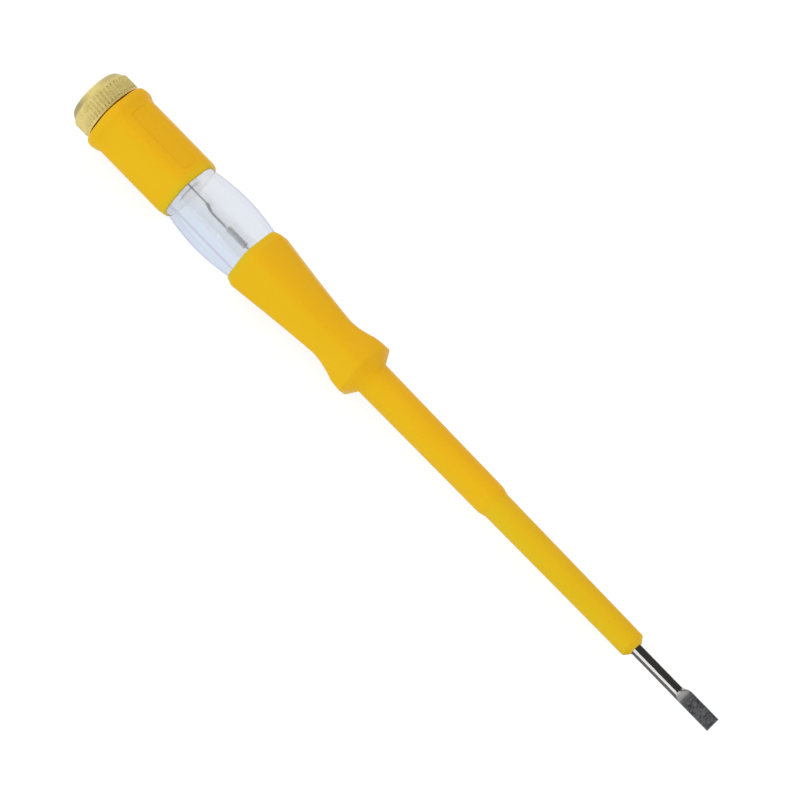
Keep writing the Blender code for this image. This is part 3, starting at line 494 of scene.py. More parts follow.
class Tree(Nodes):
    """A geometry tree under construction, with named inputs."""

    def __init__(self, name):
        self.group = bpy.data.node_groups.new(name, "GeometryNodeTree")
        super().__init__(self.group, "GeometryNode")
        self.group.interface.new_socket("Geometry", in_out="OUTPUT", socket_type="NodeSocketGeometry")
        self.source = self.nodes.new("NodeGroupInput")
        self.result = self.nodes.new("NodeGroupOutput")

    def takes(self, name, kind, default=None):
        """Adds an input and returns the socket that gives it."""
        socket = self.group.interface.new_socket(name, in_out="INPUT", socket_type="NodeSocket" + kind)
        if default is not None:
            socket.default_value = default
        return self.source.outputs[name]

    def ends(self, geometry, finish):
        """Ends the tree: instances made real, and the finish set."""
        real = self.node("RealizeInstances", ("Geometry", geometry))
        painted = self.node("SetMaterial", ("Geometry", real.outputs[0]), ("Material", finish))
        self.links.new(painted.outputs[0], self.result.inputs[0])
        return self.group


def grown(name, mesh, group, finish, **values):
    """The plain mesh that a tree makes from a mesh, with inputs given by name."""
    maker = bpy.data.objects.new(name, mesh)
    bpy.context.scene.collection.objects.link(maker)
    growth = maker.modifiers.new("growth", "NODES")
    growth.node_group = group
    values["Finish"] = finish
    for item in group.interface.items_tree:
        if item.in_out == "INPUT" and item.name in values:
            growth[item.identifier] = values[item.name]
    graph = bpy.context.evaluated_depsgraph_get()
    made = bpy.data.meshes.new_from_object(maker.evaluated_get(graph))
    maker.modifiers.remove(growth)
    bpy.data.objects.remove(maker)
    shape = bmesh.new()
    shape.from_mesh(made)
    return settled(shape)


def ring_tree():
    """Repeats a shape round the tool's axis."""
    tree = Tree("round_the_axis")
    shape = tree.takes("Shape", "Geometry")
    count = tree.takes("Count", "Int")
    finish = tree.takes("Finish", "Material")
    points = tree.node("MeshLine", ("Count", count), ("Offset", (0, 0, 0)))
    index = tree.node("InputIndex").outputs[0]
    turn = tree.math("DIVIDE", tree.times(index, 2 * pi), count)
    rotation = tree.vector(turn, 0, 0)
    ring = tree.node("InstanceOnPoints", ("Points", points.outputs[0]), ("Instance", shape),
                     ("Rotation", rotation))
    return tree.ends(ring.outputs[0], finish)


def helix_tree():
    """Sweeps a profile along a helix about the tool's axis, with its own pitch in the end turns."""
    tree = Tree("helix")
    tree.takes("Shape", "Geometry")
    start, radius, turns, pitch, end_turns, end_pitch, wire_radius = (
        tree.takes(name, "Float")
        for name in ("Start", "Radius", "Turns", "Pitch", "End turns", "End pitch", "Wire radius"))
    sides, per_turn = (tree.takes(name, "Int") for name in ("Sides", "Points per turn"))
    hand = tree.takes("Hand", "Float", 1.0)
    finish = tree.takes("Finish", "Material")
    count = tree.plus(tree.math("ROUND", tree.times(turns, per_turn)), 1)
    line = tree.node("MeshLine", ("Count", count), ("Offset", (0, 0, 0)))
    turn = tree.math("DIVIDE", tree.node("InputIndex").outputs[0], per_turn)
    sweep = tree.times(tree.times(turn, 2 * pi), hand)
    first = tree.math("MINIMUM", turn, end_turns)
    last = tree.math("MAXIMUM", tree.minus(turn, tree.minus(turns, end_turns)), 0.0)
    middle = tree.minus(tree.minus(turn, first), last)
    ends = tree.times(tree.plus(first, last), end_pitch)
    rise = tree.plus(ends, tree.times(middle, pitch))
    place = tree.minus(start, rise)
    spot = tree.vector(
        tree.times(tree.math("COSINE", sweep), radius),
        tree.times(tree.math("SINE", sweep), radius),
        place,
    )
    moved = tree.node("SetPosition", ("Geometry", line.outputs[0]), ("Position", spot))
    path = tree.node("MeshToCurve", ("Mesh", moved.outputs[0]))
    upright = tree.node("SetCurveNormal", ("Curve", path.outputs[0]), mode="Z_UP")
    profile = tree.node("CurvePrimitiveCircle", ("Resolution", sides), ("Radius", wire_radius))
    swept = tree.node("CurveToMesh", ("Curve", upright.outputs[0]), ("Profile Curve", profile.outputs[0]),
                      ("Fill Caps", True))
    laid = tree.node("Transform", ("Geometry", swept.outputs[0]), ("Rotation", (0, pi / 2, 0)))
    return tree.ends(laid.outputs[0], finish)


class Paint(Nodes):
    """A material under construction, its patterns laid on Object coordinates in metres."""

    def __init__(self, name):
        self.material = bpy.data.materials.new(name)
        self.material.use_nodes = True
        super().__init__(self.material.node_tree, "ShaderNode")
        self.shader = self.nodes["Principled BSDF"]
        self.output = self.nodes["Material Output"]
        self.place = self.node("TexCoord").outputs["Object"]

    def sets(self, **values):
        """Sets sockets of the shader, their names written with underscores, and returns the material."""
        for name, value in values.items():
            self.feed(self.shader.inputs[name.replace("_", " ")], value)
        return self.material

    def parts(self):
        """The place's parts along X, Y and Z."""
        return self.node("SeparateXYZ", ("Vector", self.place)).outputs

    def off_axis(self, parts):
        """Distance from the tool's axis."""
        squares = [self.times(part, part) for part in (parts[1], parts[2])]
        return self.math("SQRT", self.plus(*squares))

    def across(self, parts, tilt):
        """Distance across the tool, towards its far side."""
        terms = [self.times(part, share) for part, share in zip((parts[1], parts[2]), tilt)]
        return self.plus(*terms)

    def slant(self, power):
        """0 where the surface faces the eye and 1 where it is seen edge on, raised to a power."""
        return self.math("POWER", self.node("LayerWeight", ("Blend", 0.5)).outputs["Facing"], power)

    def stretched(self, scale):
        """The place scaled along each axis, for a pattern that runs one way."""
        return self.node("Mapping", ("Vector", self.place), ("Scale", scale)).outputs[0]

    def noise(self, size, detail=3.0, vector=None):
        """Noise with grains of about that size in metres."""
        made = self.node("TexNoise", ("Vector", vector or self.place), ("Scale", 1 / size),
                         ("Detail", detail))
        return made.outputs["Fac"]

    def between(self, value, low, high, start=0.0, stop=1.0):
        """A value from low to high turned into one from start to stop."""
        made = self.node("MapRange", ("Value", value), ("From Min", low), ("From Max", high),
                         ("To Min", start), ("To Max", stop))
        return made.outputs["Result"]

    def varied(self, base, pattern, low, high):
        """The base colour, its parts multiplied by low ones to high ones as the pattern rises."""
        return self.blend(self.between(pattern, 0.3, 0.7), shifted(base, *low), shifted(base, *high))

    def bump(self, height, depth, strength=1.0, under=None):
        made = self.node("Bump", ("Height", height), ("Distance", depth), ("Strength", strength))
        if under is not None:
            self.links.new(under, made.inputs["Normal"])
        return made.outputs[0]


def shifted(base, *by):
    """A colour with its parts multiplied, all by one number or each by its own."""
    return tuple(min(part * number, 1) for part, number in zip(base, by * (3 // len(by))))


def moulded(name, base, rim=None):
    """Moulded plastic: a faint flow in the colour, a fine skin and a little wear in the gloss.

    Facets that turn to the far side carry painted shade. With a rim colour, the thin rims beside the
    window take that colour as painted light, standing in for light that comes through the window.
    """
    paint = Paint(name)
    parts = paint.parts()
    flow = paint.noise(9 * MM, 4.0, paint.stretched((0.35, 1, 1)))
    # Painted shade: facets turned to the far side are darkened and dulled.
    far_side_shade = paint.between(paint.across(parts, FACET_TILT), 0.5 * MM, 5.5 * MM)
    fresh = paint.varied(base, flow, (0.985, 0.975, 0.9), (1.01, 1.02, 1.1))
    tone = paint.blend(far_side_shade, fresh, shifted(base, 0.915, 0.93, 1.3))
    # Painted light on the rims beside the window, standing in for light that comes through it.
    if rim:
        from_window = paint.math("ABSOLUTE", paint.minus(parts[0], WINDOW_MIDDLE))
        tone = paint.blend(paint.between(from_window, RIM_LIGHT_START, RIM_LIGHT_FULL), tone, rim)
    waves = paint.bump(paint.noise(2.2 * MM, 1.0), 0.02 * MM, 0.25)
    return paint.sets(
        Base_Color=tone,
        Roughness=paint.between(paint.noise(4 * MM, 5.0), 0.3, 0.7, 0.45, 0.56),
        IOR=1.5,
        Specular_IOR_Level=0.14,
        Specular_Tint=(1.0, 0.72, 0.25, 1.0),
        Subsurface_Weight=0.06,
        Subsurface_Scale=0.6 * MM,
        Subsurface_Radius=(1.0, 0.6, 0.1),
        Normal=paint.bump(paint.noise(0.12 * MM, 2.0), 0.004 * MM, 0.35, waves),
    )


def clear_plastic(name, far_tint, near_tint, edge_shade_tint, through, ior, tinted_from, mould_line, wave):
    """Clear moulded plastic or glass: a share of the light goes straight through, the rest bends.

    The tint lies in the skin farther than tinted_from off the axis. It is painted light and shade: it runs
    from the far side to the near side, and painted shade deepens it where the wall is seen aslant and along
    the mould line.
    """
    paint = Paint(name)
    parts = paint.parts()
    paint.sets(
        Base_Color=(1.0, 1.0, 1.0, 1.0),
        Roughness=paint.between(paint.noise(1.6 * MM, 4.0), 0.35, 0.75, 0.0, 0.03),
        IOR=ior,
        Transmission_Weight=1.0,
        Normal=paint.bump(paint.noise(wave, 1.0), 0.02 * MM, 0.3),
    )
    across = paint.across(parts, FACET_TILT)
    # Painted light and shade: the tint runs from the far side to the near side.
    body = paint.blend(paint.between(across, 1.5 * MM, -4.5 * MM), far_tint, near_tint)
    off_line = paint.math("ABSOLUTE", paint.minus(across, mould_line))
    # Painted shade: a dark line along the mould line, and darker skin where the wall is seen aslant.
    mould_line_shade = paint.blend(paint.between(off_line, 0.05 * MM, 0.35 * MM, 0.62, 0.0), body, edge_shade_tint)
    skin_tint = paint.blend(paint.slant(4.0), mould_line_shade, edge_shade_tint)
    outside = paint.math("GREATER_THAN", paint.off_axis(parts), tinted_from)
    straight = paint.node("BsdfTransparent", ("Color", paint.blend(outside, (1.0, 1.0, 1.0), skin_tint)))
    from_lamp = paint.node("LightPath").outputs["Is Shadow Ray"]
    share = paint.math("MAXIMUM", from_lamp, through)
    mixed = paint.node("MixShader", (0, share), (1, paint.shader.outputs[0]), (2, straight.outputs[0]))
    paint.links.new(mixed.outputs[0], paint.output.inputs["Surface"])
    return paint.material


def inner_mirror(name, base):
    """The end face of clear plastic or glass, seen aslant from inside: it throws the light back."""
    paint = Paint(name)
    ripple = paint.noise(2 * MM, 2.0)
    return paint.sets(
        Base_Color=paint.blend(ripple, shifted(base, 0.97), base),
        Metallic=1.0,
        Roughness=paint.between(ripple, 0.3, 0.7, 0.04, 0.12),
        Normal=paint.bump(ripple, 0.01 * MM, 0.2),
    )


def frosted(name, base):
    """The frosted skin of clear plastic where it sits in a grip."""
    paint = Paint(name)
    grain = paint.noise(0.3 * MM, 3.0)
    return paint.sets(
        Base_Color=paint.blend(grain, shifted(base, 0.97, 0.97, 0.96), base),
        Roughness=0.6,
        Normal=paint.bump(grain, 0.01 * MM, 0.4),
    )


def turned_brass(name, base):
    """Turned brass: tool marks round the axis, a patchy tone and dull spots.

    The smooth face and chamfer inside the ribs carry a painted highlight in the middle and painted shade on
    both sides, and the brass is painted darker where it is seen aslant.
    """
    paint = Paint(name)
    parts = paint.parts()
    off_axis = paint.off_axis(parts)
    across = paint.across(parts, CAP_TILT)
    along = paint.plus(off_axis, parts[0])
    marks = paint.noise(0.09 * MM, 2.0, paint.node("CombineXYZ", (0, along)).outputs[0])
    patches = paint.noise(1.8 * MM, 5.0)
    spots = paint.between(paint.noise(0.5 * MM, 3.0), 0.58, 0.72, 0.0, 0.55)
    tone = paint.blend(paint.between(patches, 0.35, 0.65), shifted(base, 0.9, 0.88, 0.8),
                       shifted(base, 1.08, 1.08, 1.05))
    # Painted shade: the brass is darker where the surface is seen aslant.
    aslant = paint.blend(paint.times(paint.slant(2.5), 0.6), tone, shifted(base, 0.72, 0.72, 0.9))
    # Painted highlight in the middle of the smooth face and chamfer, and painted shade on both of its sides.
    smooth_part = paint.between(off_axis, 7.1 * MM, 6.8 * MM)
    far_side_shade = paint.times(smooth_part, paint.between(across, 1.2 * MM, 4.2 * MM))
    near_side_shade = paint.times(smooth_part, paint.between(across, -0.8 * MM, -4.2 * MM))
    middle_highlight = paint.blend(smooth_part, aslant, shifted(base, 1.02, 1.02, 0.98))
    far_painted_shade = paint.blend(far_side_shade, middle_highlight, shifted(base, 0.75, 0.75, 0.79))
    side_painted_shade = paint.blend(near_side_shade, far_painted_shade, shifted(base, 0.53, 0.53, 0.58))
    return paint.sets(
        Base_Color=paint.blend(spots, side_painted_shade, shifted(base, 0.72, 0.62, 0.5)),
        Metallic=1.0,
        Roughness=paint.between(patches, 0.3, 0.7, 0.48, 0.60),
        Normal=paint.bump(marks, 0.006 * MM, 0.3),
    )


def plated(name, base, roughness=0.1):
    """Polished plating with fine scratches along the tool."""
    paint = Paint(name)
    scratches = paint.noise(0.05 * MM, 2.0, paint.stretched((0.06, 1, 1)))
    cloud = paint.noise(1.5 * MM, 4.0)
    return paint.sets(
        Base_Color=paint.varied(base, cloud, (0.95,), (1,)),
        Metallic=1.0,
        Roughness=paint.between(cloud, 0.3, 0.75, roughness, roughness + 0.08),
        Normal=paint.bump(scratches, 0.003 * MM, 0.25),
    )


def blade_steel(name, base, blasted, flat):
    """Polished plate on the bar, and a dull, mottled skin on the flat of the tip."""
    paint = Paint(name)
    parts = paint.parts()
    grain = paint.noise(0.16 * MM, 4.0)
    strokes = paint.noise(0.5 * MM, 4.0, paint.stretched((1.3, 0.75, 0.75)))
    ragged = paint.plus(parts[0], paint.between(strokes, 0, 1, -0.9 * MM, 0.9 * MM))
    slanted = paint.plus(ragged, paint.times(parts[1], 0.1))
    at_tip = paint.between(slanted, -flat - 1.2 * MM, -flat + 0.9 * MM)
    dulled = paint.between(parts[0], -flat - 2.3 * MM, -flat - 1.3 * MM)
    scratches = paint.noise(0.05 * MM, 2.0, paint.stretched((0.06, 1, 1)))
    dents = paint.noise(0.5 * MM, 3.0)
    mottled = paint.varied(blasted, strokes, (0.4,), (1.9,))
    return paint.sets(
        Base_Color=paint.blend(at_tip, paint.blend(dulled, base, shifted(base, 0.45)), mottled),
        Metallic=1.0,
        Roughness=paint.between(dulled, 0.0, 1.0, 0.07, 0.42),
        Normal=paint.bump(grain, paint.between(at_tip, 0.0, 1.0, 0.0, 0.03 * MM), 0.8,
                          paint.bump(scratches, 0.002 * MM, 0.2, paint.bump(dents, 0.025 * MM, 0.6))),
    )


def dull_metal(name, base, roughness, grain=0.2 * MM):
    """Solder, wire or coated metal with a grainy tone."""
    paint = Paint(name)
    spots = paint.noise(grain, 4.0)
    return paint.sets(
        Base_Color=paint.varied(base, spots, (0.75,), (1.15,)),
        Metallic=1.0,
        Roughness=paint.between(spots, 0.3, 0.7, roughness - 0.08, roughness + 0.08),
        Normal=paint.bump(spots, 0.02 * MM, 0.4),
    )


def lacquer(name, base):
    """Glossy lacquer over a ceramic rod, slightly uneven."""
    paint = Paint(name)
    runs = paint.noise(1.5 * MM, 3.0)
    return paint.sets(
        Base_Color=paint.varied(base, runs, (0.85,), (1,)),
        Roughness=paint.between(runs, 0.3, 0.7, 0.25, 0.4),
        Normal=paint.bump(runs, 0.03 * MM, 0.5),
    )


class Shelf:
    """Keeps each finish once it is made."""
    made = {}

    @classmethod
    def take(cls, name):
        if name not in cls.made:
            cls.made[name] = cls.recipes()[name](name)
        return cls.made[name]

    @staticmethod
    def recipes():
        """How each finish is made from the colours and sizes that are set."""
        scene = bpy.context.scene
        tones = scene.tester_finishes

        def tone(key):
            return tuple(getattr(tones, key))

        return {
            "grip_yellow": lambda name: moulded(name, tone("grip"), tone("grip_rim_light")),
            "sleeve_yellow": lambda name: moulded(name, tone("sleeve")),
            "clear_acrylic": lambda name: clear_plastic(
                name, tone("clear_far"), tone("clear"), tone("clear_edge_shade"), through=0.91, ior=1.49,
                tinted_from=4 * MM, mould_line=-5.6 * MM, wave=6 * MM),
            "lamp_glass_finish": lambda name: clear_plastic(
                name, tone("glass"), tone("glass"), tone("glass"), through=0.985, ior=1.5,
                tinted_from=0.0, mould_line=0.0, wave=3 * MM),
            "seat_acrylic": lambda name: frosted(name, tone("seat")),
            "end_mirror": lambda name: inner_mirror(name, tone("mirror")),
            "turned_brass": lambda name: turned_brass(name, tone("brass")),
            "nickel": lambda name: plated(name, tone("nickel")),
            "spring_wire": lambda name: plated(name, tone("steel"), roughness=0.2),
            "blade_plate": lambda name: blade_steel(
                name, tone("nickel"), tone("blasted"), scene.tester_blade.flat),
            "solder": lambda name: dull_metal(name, tone("tin"), roughness=0.35),
            "electrode_coat": lambda name: dull_metal(name, tone("electrode"), 0.5, grain=0.1 * MM),
            "rod_coat": lambda name: dull_metal(name, tone("rod"), 0.6, grain=0.1 * MM),
            "resistor_coat": lambda name: lacquer(name, tone("ceramic")),
        }


class MakeBlade(bpy.types.Operator):
    """Makes the blade: plated bar, forged and ground tip, and the wings that hold it"""
    bl_idname = "tester.make_blade"
    bl_label = "Blade"

    def execute(self, context):
        size = context.scene.tester_blade
        rear = rear_of("blade")
        rear_face = size.bar - 2 * size.chamfer
        rings = [self.ring(size, rear, rear_face, rear_face),
                 self.ring(size, rear + size.chamfer, size.bar, size.bar)]
        for share in shares(14):
            rings.append(self.ring(
                size, -size.flat - size.flare * (1 - share), eased(size.bar, size.width, share),
                eased(size.bar, size.root, share), eased(0, 1, share), eased(0, size.shift, share)))
        for share in shares(8)[1:]:
            thick = partway(size.root, size.thickness, share)
            rings.append(self.ring(size, -size.flat * (1 - share), size.width, thick, 1, size.shift))
        mount("blade_bar", skin(rings, closed=False, smooth=40), "blade_plate", HANDLE, "nickel_plate",
              "blade")
        self.make_wings(size, rear)
        return {"FINISHED"}

    def ring(self, size, place, width, thickness, squareness=0, shift=0):
        """A ring from a round bar, at squareness 0, to a flat with slightly rounded corners, at 1."""
        power = 2 + 14 * squareness ** 2
        ring = []
        for t in even_turns(64):
            reach = (abs(cos(t)) ** power + abs(sin(t)) ** power) ** (-1 / power)
            across = cos(t) * reach * thickness / 2
            along = shift + sin(t) * reach * width / 2
            side = across * sin(size.turn) + along * cos(size.turn)
            down = across * cos(size.turn) - along * sin(size.turn)
            ring.append(Vector((place, side, -down)))
        return ring

    def make_wings(self, size, rear):
        """The two pressed wings, one block with softened edges through the bar."""
        shape = bmesh.new()
        bmesh.ops.create_cube(shape, size=1.0)
        scale = (size.wing_length, size.wing_span, size.wing_thickness)
        bmesh.ops.scale(shape, vec=scale, verts=shape.verts)
        bmesh.ops.bevel(shape, geom=shape.edges[:], offset=0.15 * MM, segments=3, affect="EDGES", profile=0.5)
        turn = Matrix.Rotation(-size.turn, 4, "X")
        middle = rear + size.wing_from_rear - size.wing_length / 2
        bmesh.ops.transform(shape, matrix=Matrix.Translation((middle, 0, 0)) @ turn, verts=shape.verts)
        mount("blade_wings", settled(shape), "nickel", HANDLE, "nickel_plate")


class MakeSleeves(bpy.types.Operator):
    """Makes the two insulating sleeves in front of the handle"""
    bl_idname = "tester.make_sleeves"
    bl_label = "Sleeves"

    def execute(self, context):
        size = context.scene.tester_sleeves
        front = front_of("tip_sleeve")
        rear = rear_of("tip_sleeve")
        step = rear + size.tip_tail
        line = turned(
            (front, size.bore + size.tip_lip, 0.05 * MM),
            (front - size.tip_chamfer, size.tip_front, 0.35 * MM),
            (step, size.tip_rear, 0.06 * MM),
            (step, size.tip_tail_radius),
            (rear, size.tip_tail_radius, 0.2 * MM),
            (rear, size.bore),
            (front, size.bore, 0.05 * MM),
        )
        mount("tip_insulation", shell(line), "sleeve_yellow", HANDLE, "sleeve_plastic", "tip_sleeve")

        socket_rear = rear
        socket = size.tip_tail_radius + context.scene.tester_window.fit
        thin_end = size.tip_rear - 0.01 * MM
        front = step + size.lap
        rear = rear_of("nose_sleeve")
        step = rear + size.nose_tail
        line = turned(
            (front, thin_end),
            (front - size.nose_shoulder, size.nose_front, 0.7 * MM),
            (step, size.nose_rear, 0.05 * MM),
            (step, size.nose_tail_radius),
            (rear, size.nose_tail_radius, 0.2 * MM),
            (rear, size.bore),
            (socket_rear, size.bore),
            (socket_rear, socket),
            (front, socket),
        )
        mount("nose_insulation", shell(line), "grip_yellow", HANDLE, "yellow_plastic", "nose_sleeve")
        return {"FINISHED"}


class MakeFrontGrip(bpy.types.Operator):
    """Makes the front grip: guard collar, waist and six soft facets"""
    bl_idname = "tester.make_front_grip"
    bl_label = "Front grip"

    def execute(self, context):
        size = context.scene.tester_grips
        sleeves = context.scene.tester_sleeves
        window = context.scene.tester_window
        front = front_of("front_grip") + size.front_lap
        thin_end = size.nose - 0.035 * MM
        collar_front = front_of("front_grip") - size.cone
        collar_rear = collar_front - size.collar
        waist = collar_rear - size.flare
        shoulder = waist - size.taper
        rear = shoulder - size.chamfer - size.rear_lap
        sleeve_end = front_of("front_grip") - sleeves.nose_tail - size.end_gap
        barrel_end = front_of("window_barrel") + size.end_gap
        socket = sleeves.nose_tail_radius + window.fit
        corners = [
            round_corner(front, thin_end),
            round_corner(front - 0.5 * MM, size.nose, 0.5 * MM),
            (collar_front, size.collar_front, size.edge, 0.35 * MM),
            (collar_rear, size.collar_rear, size.edge, 0.5 * MM),
        ]
        for share in shares(16)[1:-1]:
            half = partway(size.waist, size.collar_rear, (1 - share) ** 1.75)
            corners.append((collar_rear - size.flare * share, half, size.edge, 0))
        for share in shares(24)[:-1]:
            half = partway(size.waist, size.shoulder, share ** 1.15)
            corners.append((waist - size.taper * share, half, size.edge, 0))
        corners += [
            (shoulder, size.shoulder, size.edge, 0.5 * MM),
            (rear, size.rear, size.rear_edge, 0.3 * MM),
            round_corner(rear, window.spigot_root + window.fit),
            round_corner(barrel_end, window.spigot_end + window.fit),
            round_corner(barrel_end, window.blade_hole),
            round_corner(sleeve_end, window.blade_hole),
            round_corner(sleeve_end, socket),
            round_corner(front, socket),
        ]
        mount("front_grip_shell", shell(softened(corners), 192), "grip_yellow", HANDLE, "yellow_plastic",
              "front_grip")
        return {"FINISHED"}


class MakeWindow(bpy.types.Operator):
    """Makes the clear barrel with its swelling window"""
    bl_idname = "tester.make_window"
    bl_label = "Clear barrel"

    def execute(self, context):
        size = context.scene.tester_window
        front = rear_of("front_grip") - size.setback
        rear = front - size.length
        self.make_middle(size, front, rear)
        spigot_front = front_of("window_barrel")
        spigot_rear = rear_of("window_barrel")
        bore_end = spigot_front - size.wall
        bush_end = spigot_rear + size.bush_depth
        front_line = turned(
            (spigot_front, size.spigot_end, 0.2 * MM),
            (front + size.seam, size.spigot_root),
            (front + size.seam, size.bore),
            (bore_end, size.bore),
            (bore_end, size.blade_hole),
            (spigot_front, size.blade_hole),
        )
        rear_line = turned(
            (rear - size.seam, size.rear_spigot),
            (spigot_rear, size.rear_spigot, 0.2 * MM),
            (spigot_rear, size.bush_seat),
            (bush_end, size.bush_seat),
            (bush_end, size.bore),
            (rear - size.seam, size.bore),
        )
        for name, line in (("front_spigot", front_line), ("rear_spigot", rear_line)):
            mount(name, shell(line), "seat_acrylic", HANDLE, "clear_plastic")
        return {"FINISHED"}

    def make_middle(self, size, front, rear):
        """The window, with mirror-bright end faces and frosted seats for the lamp."""
        corners = []
        for share in shares(40):
            half = partway(size.end, size.middle, 1 - (2 * share - 1) ** 2)
            cut = size.corner if share in (0, 1) else 0
            corners.append((front - size.length * share, half, size.edge, cut))
        corners += [
            round_corner(rear, size.lamp_seat),
            round_corner(rear + size.lamp_lip, size.lamp_seat),
            round_corner(rear + size.lamp_lip, size.bore),
            round_corner(front - size.lamp_lip, size.bore),
            round_corner(front - size.lamp_lip, size.cup_seat),
            round_corner(front, size.cup_seat),
        ]
        mesh = shell(softened(corners), 192)
        mount("window_core", mesh, "clear_acrylic", HANDLE, "clear_plastic", "window_barrel")
        mesh.materials.append(Shelf.take("end_mirror"))
        mesh.materials.append(Shelf.take("seat_acrylic"))
        for face in mesh.polygons:
            if abs(face.normal.x) > 0.9:
                face.material_index = 1
            elif hypot(face.center.y, face.center.z) < size.bore - size.fit:
                face.material_index = 2


class MakeRearGrip(bpy.types.Operator):
    """Makes the rear grip with its rounded lip and its sunk, bare panel"""
    bl_idname = "tester.make_rear_grip"
    bl_label = "Rear grip"

    def execute(self, context):
        size = context.scene.tester_grips
        window = context.scene.tester_window
        rear = rear_of("rear_grip")
        front = front_of("rear_grip") - size.rear_grip_setback
        panel_rear = rear + size.lip_rounding + size.lip_crest + size.lip_flank + size.panel_gap
        panel = (panel_rear, panel_rear + size.panel_length)
        turns = self.panel_turns()
        rings = []
        for place, half, edge in self.profile(size, rear, front, panel):
            ring = []
            for turn in turns:
                point = around(place, facet_reach(turn, half, edge), turn)
                point.z -= self.sink(point, size, panel)
                ring.append(point)
            rings.append(ring)
        for place in (front, rear):
            rings.append([around(place, window.rear_spigot + window.fit, turn) for turn in turns])
        mount("rear_grip_shell", skin(rings, smooth=50), "grip_yellow", HANDLE, "yellow_plastic", "rear_grip")
        return {"FINISHED"}

    def profile(self, size, rear, front, panel):
        """(place, half, edge) from the lip's end face to the front rim, closer set round the panel."""
        line = []
        quarter = [(sin(pi / 2 * share), cos(pi / 2 * share)) for share in shares(12)]
        for rise, run in quarter:
            half = partway(size.lip_end, size.lip, rise)
            line.append((rear + size.lip_rounding * (1 - run), half, size.lip_edge))
        crest_end = rear + size.lip_rounding + size.lip_crest
        for share in shares(12):
            half = eased(size.lip, size.rear_grip_half, share)
            edge = eased(size.lip_edge, size.rear_grip_edge, share)
            line.append((crest_end + size.lip_flank * share, half, edge))
        rim = front - size.rear_grip_rim
        fine, coarse, near = 0.1 * MM, 0.5 * MM, 1.2 * MM
        place = line[-1][0]
        while place < rim - fine:
            place += fine if min(abs(place - end) for end in panel) < near else coarse
            if place < rim - fine / 2:
                line.append((place, size.rear_grip_half, size.rear_grip_edge))
        for rise, run in quarter:
            half = partway(size.rear_grip_front, size.rear_grip_half, run)
            line.append((rim + size.rear_grip_rim * rise, half, size.rear_grip_edge))
        return line

    def panel_turns(self):
        """Turns round the grip, close set over the upper facet."""
        side, fine, coarse = 28, 0.8, 2.0
        dense = [-side + fine * i for i in range(round(2 * side / fine) + 1)]
        sparse = [side + coarse * i for i in range(1, round((360 - 2 * side) / coarse))]
        return [radians(degrees) for degrees in dense + sparse]

    def sink(self, point, size, panel):
        """How deep the panel is sunk at a point."""
        if point.z < 0:
            return 0.0
        along = abs(point.x - sum(panel) / 2) - size.panel_length / 2 + size.panel_corner
        across = abs(point.y - size.panel_shift) - size.panel_width / 2 + size.panel_corner
        outside = hypot(max(along, 0), max(across, 0)) + min(max(along, across), 0) - size.panel_corner
        wall = 0.32 * MM
        return eased(0, size.panel_depth, min(max(0.5 - outside / wall, 0), 1))


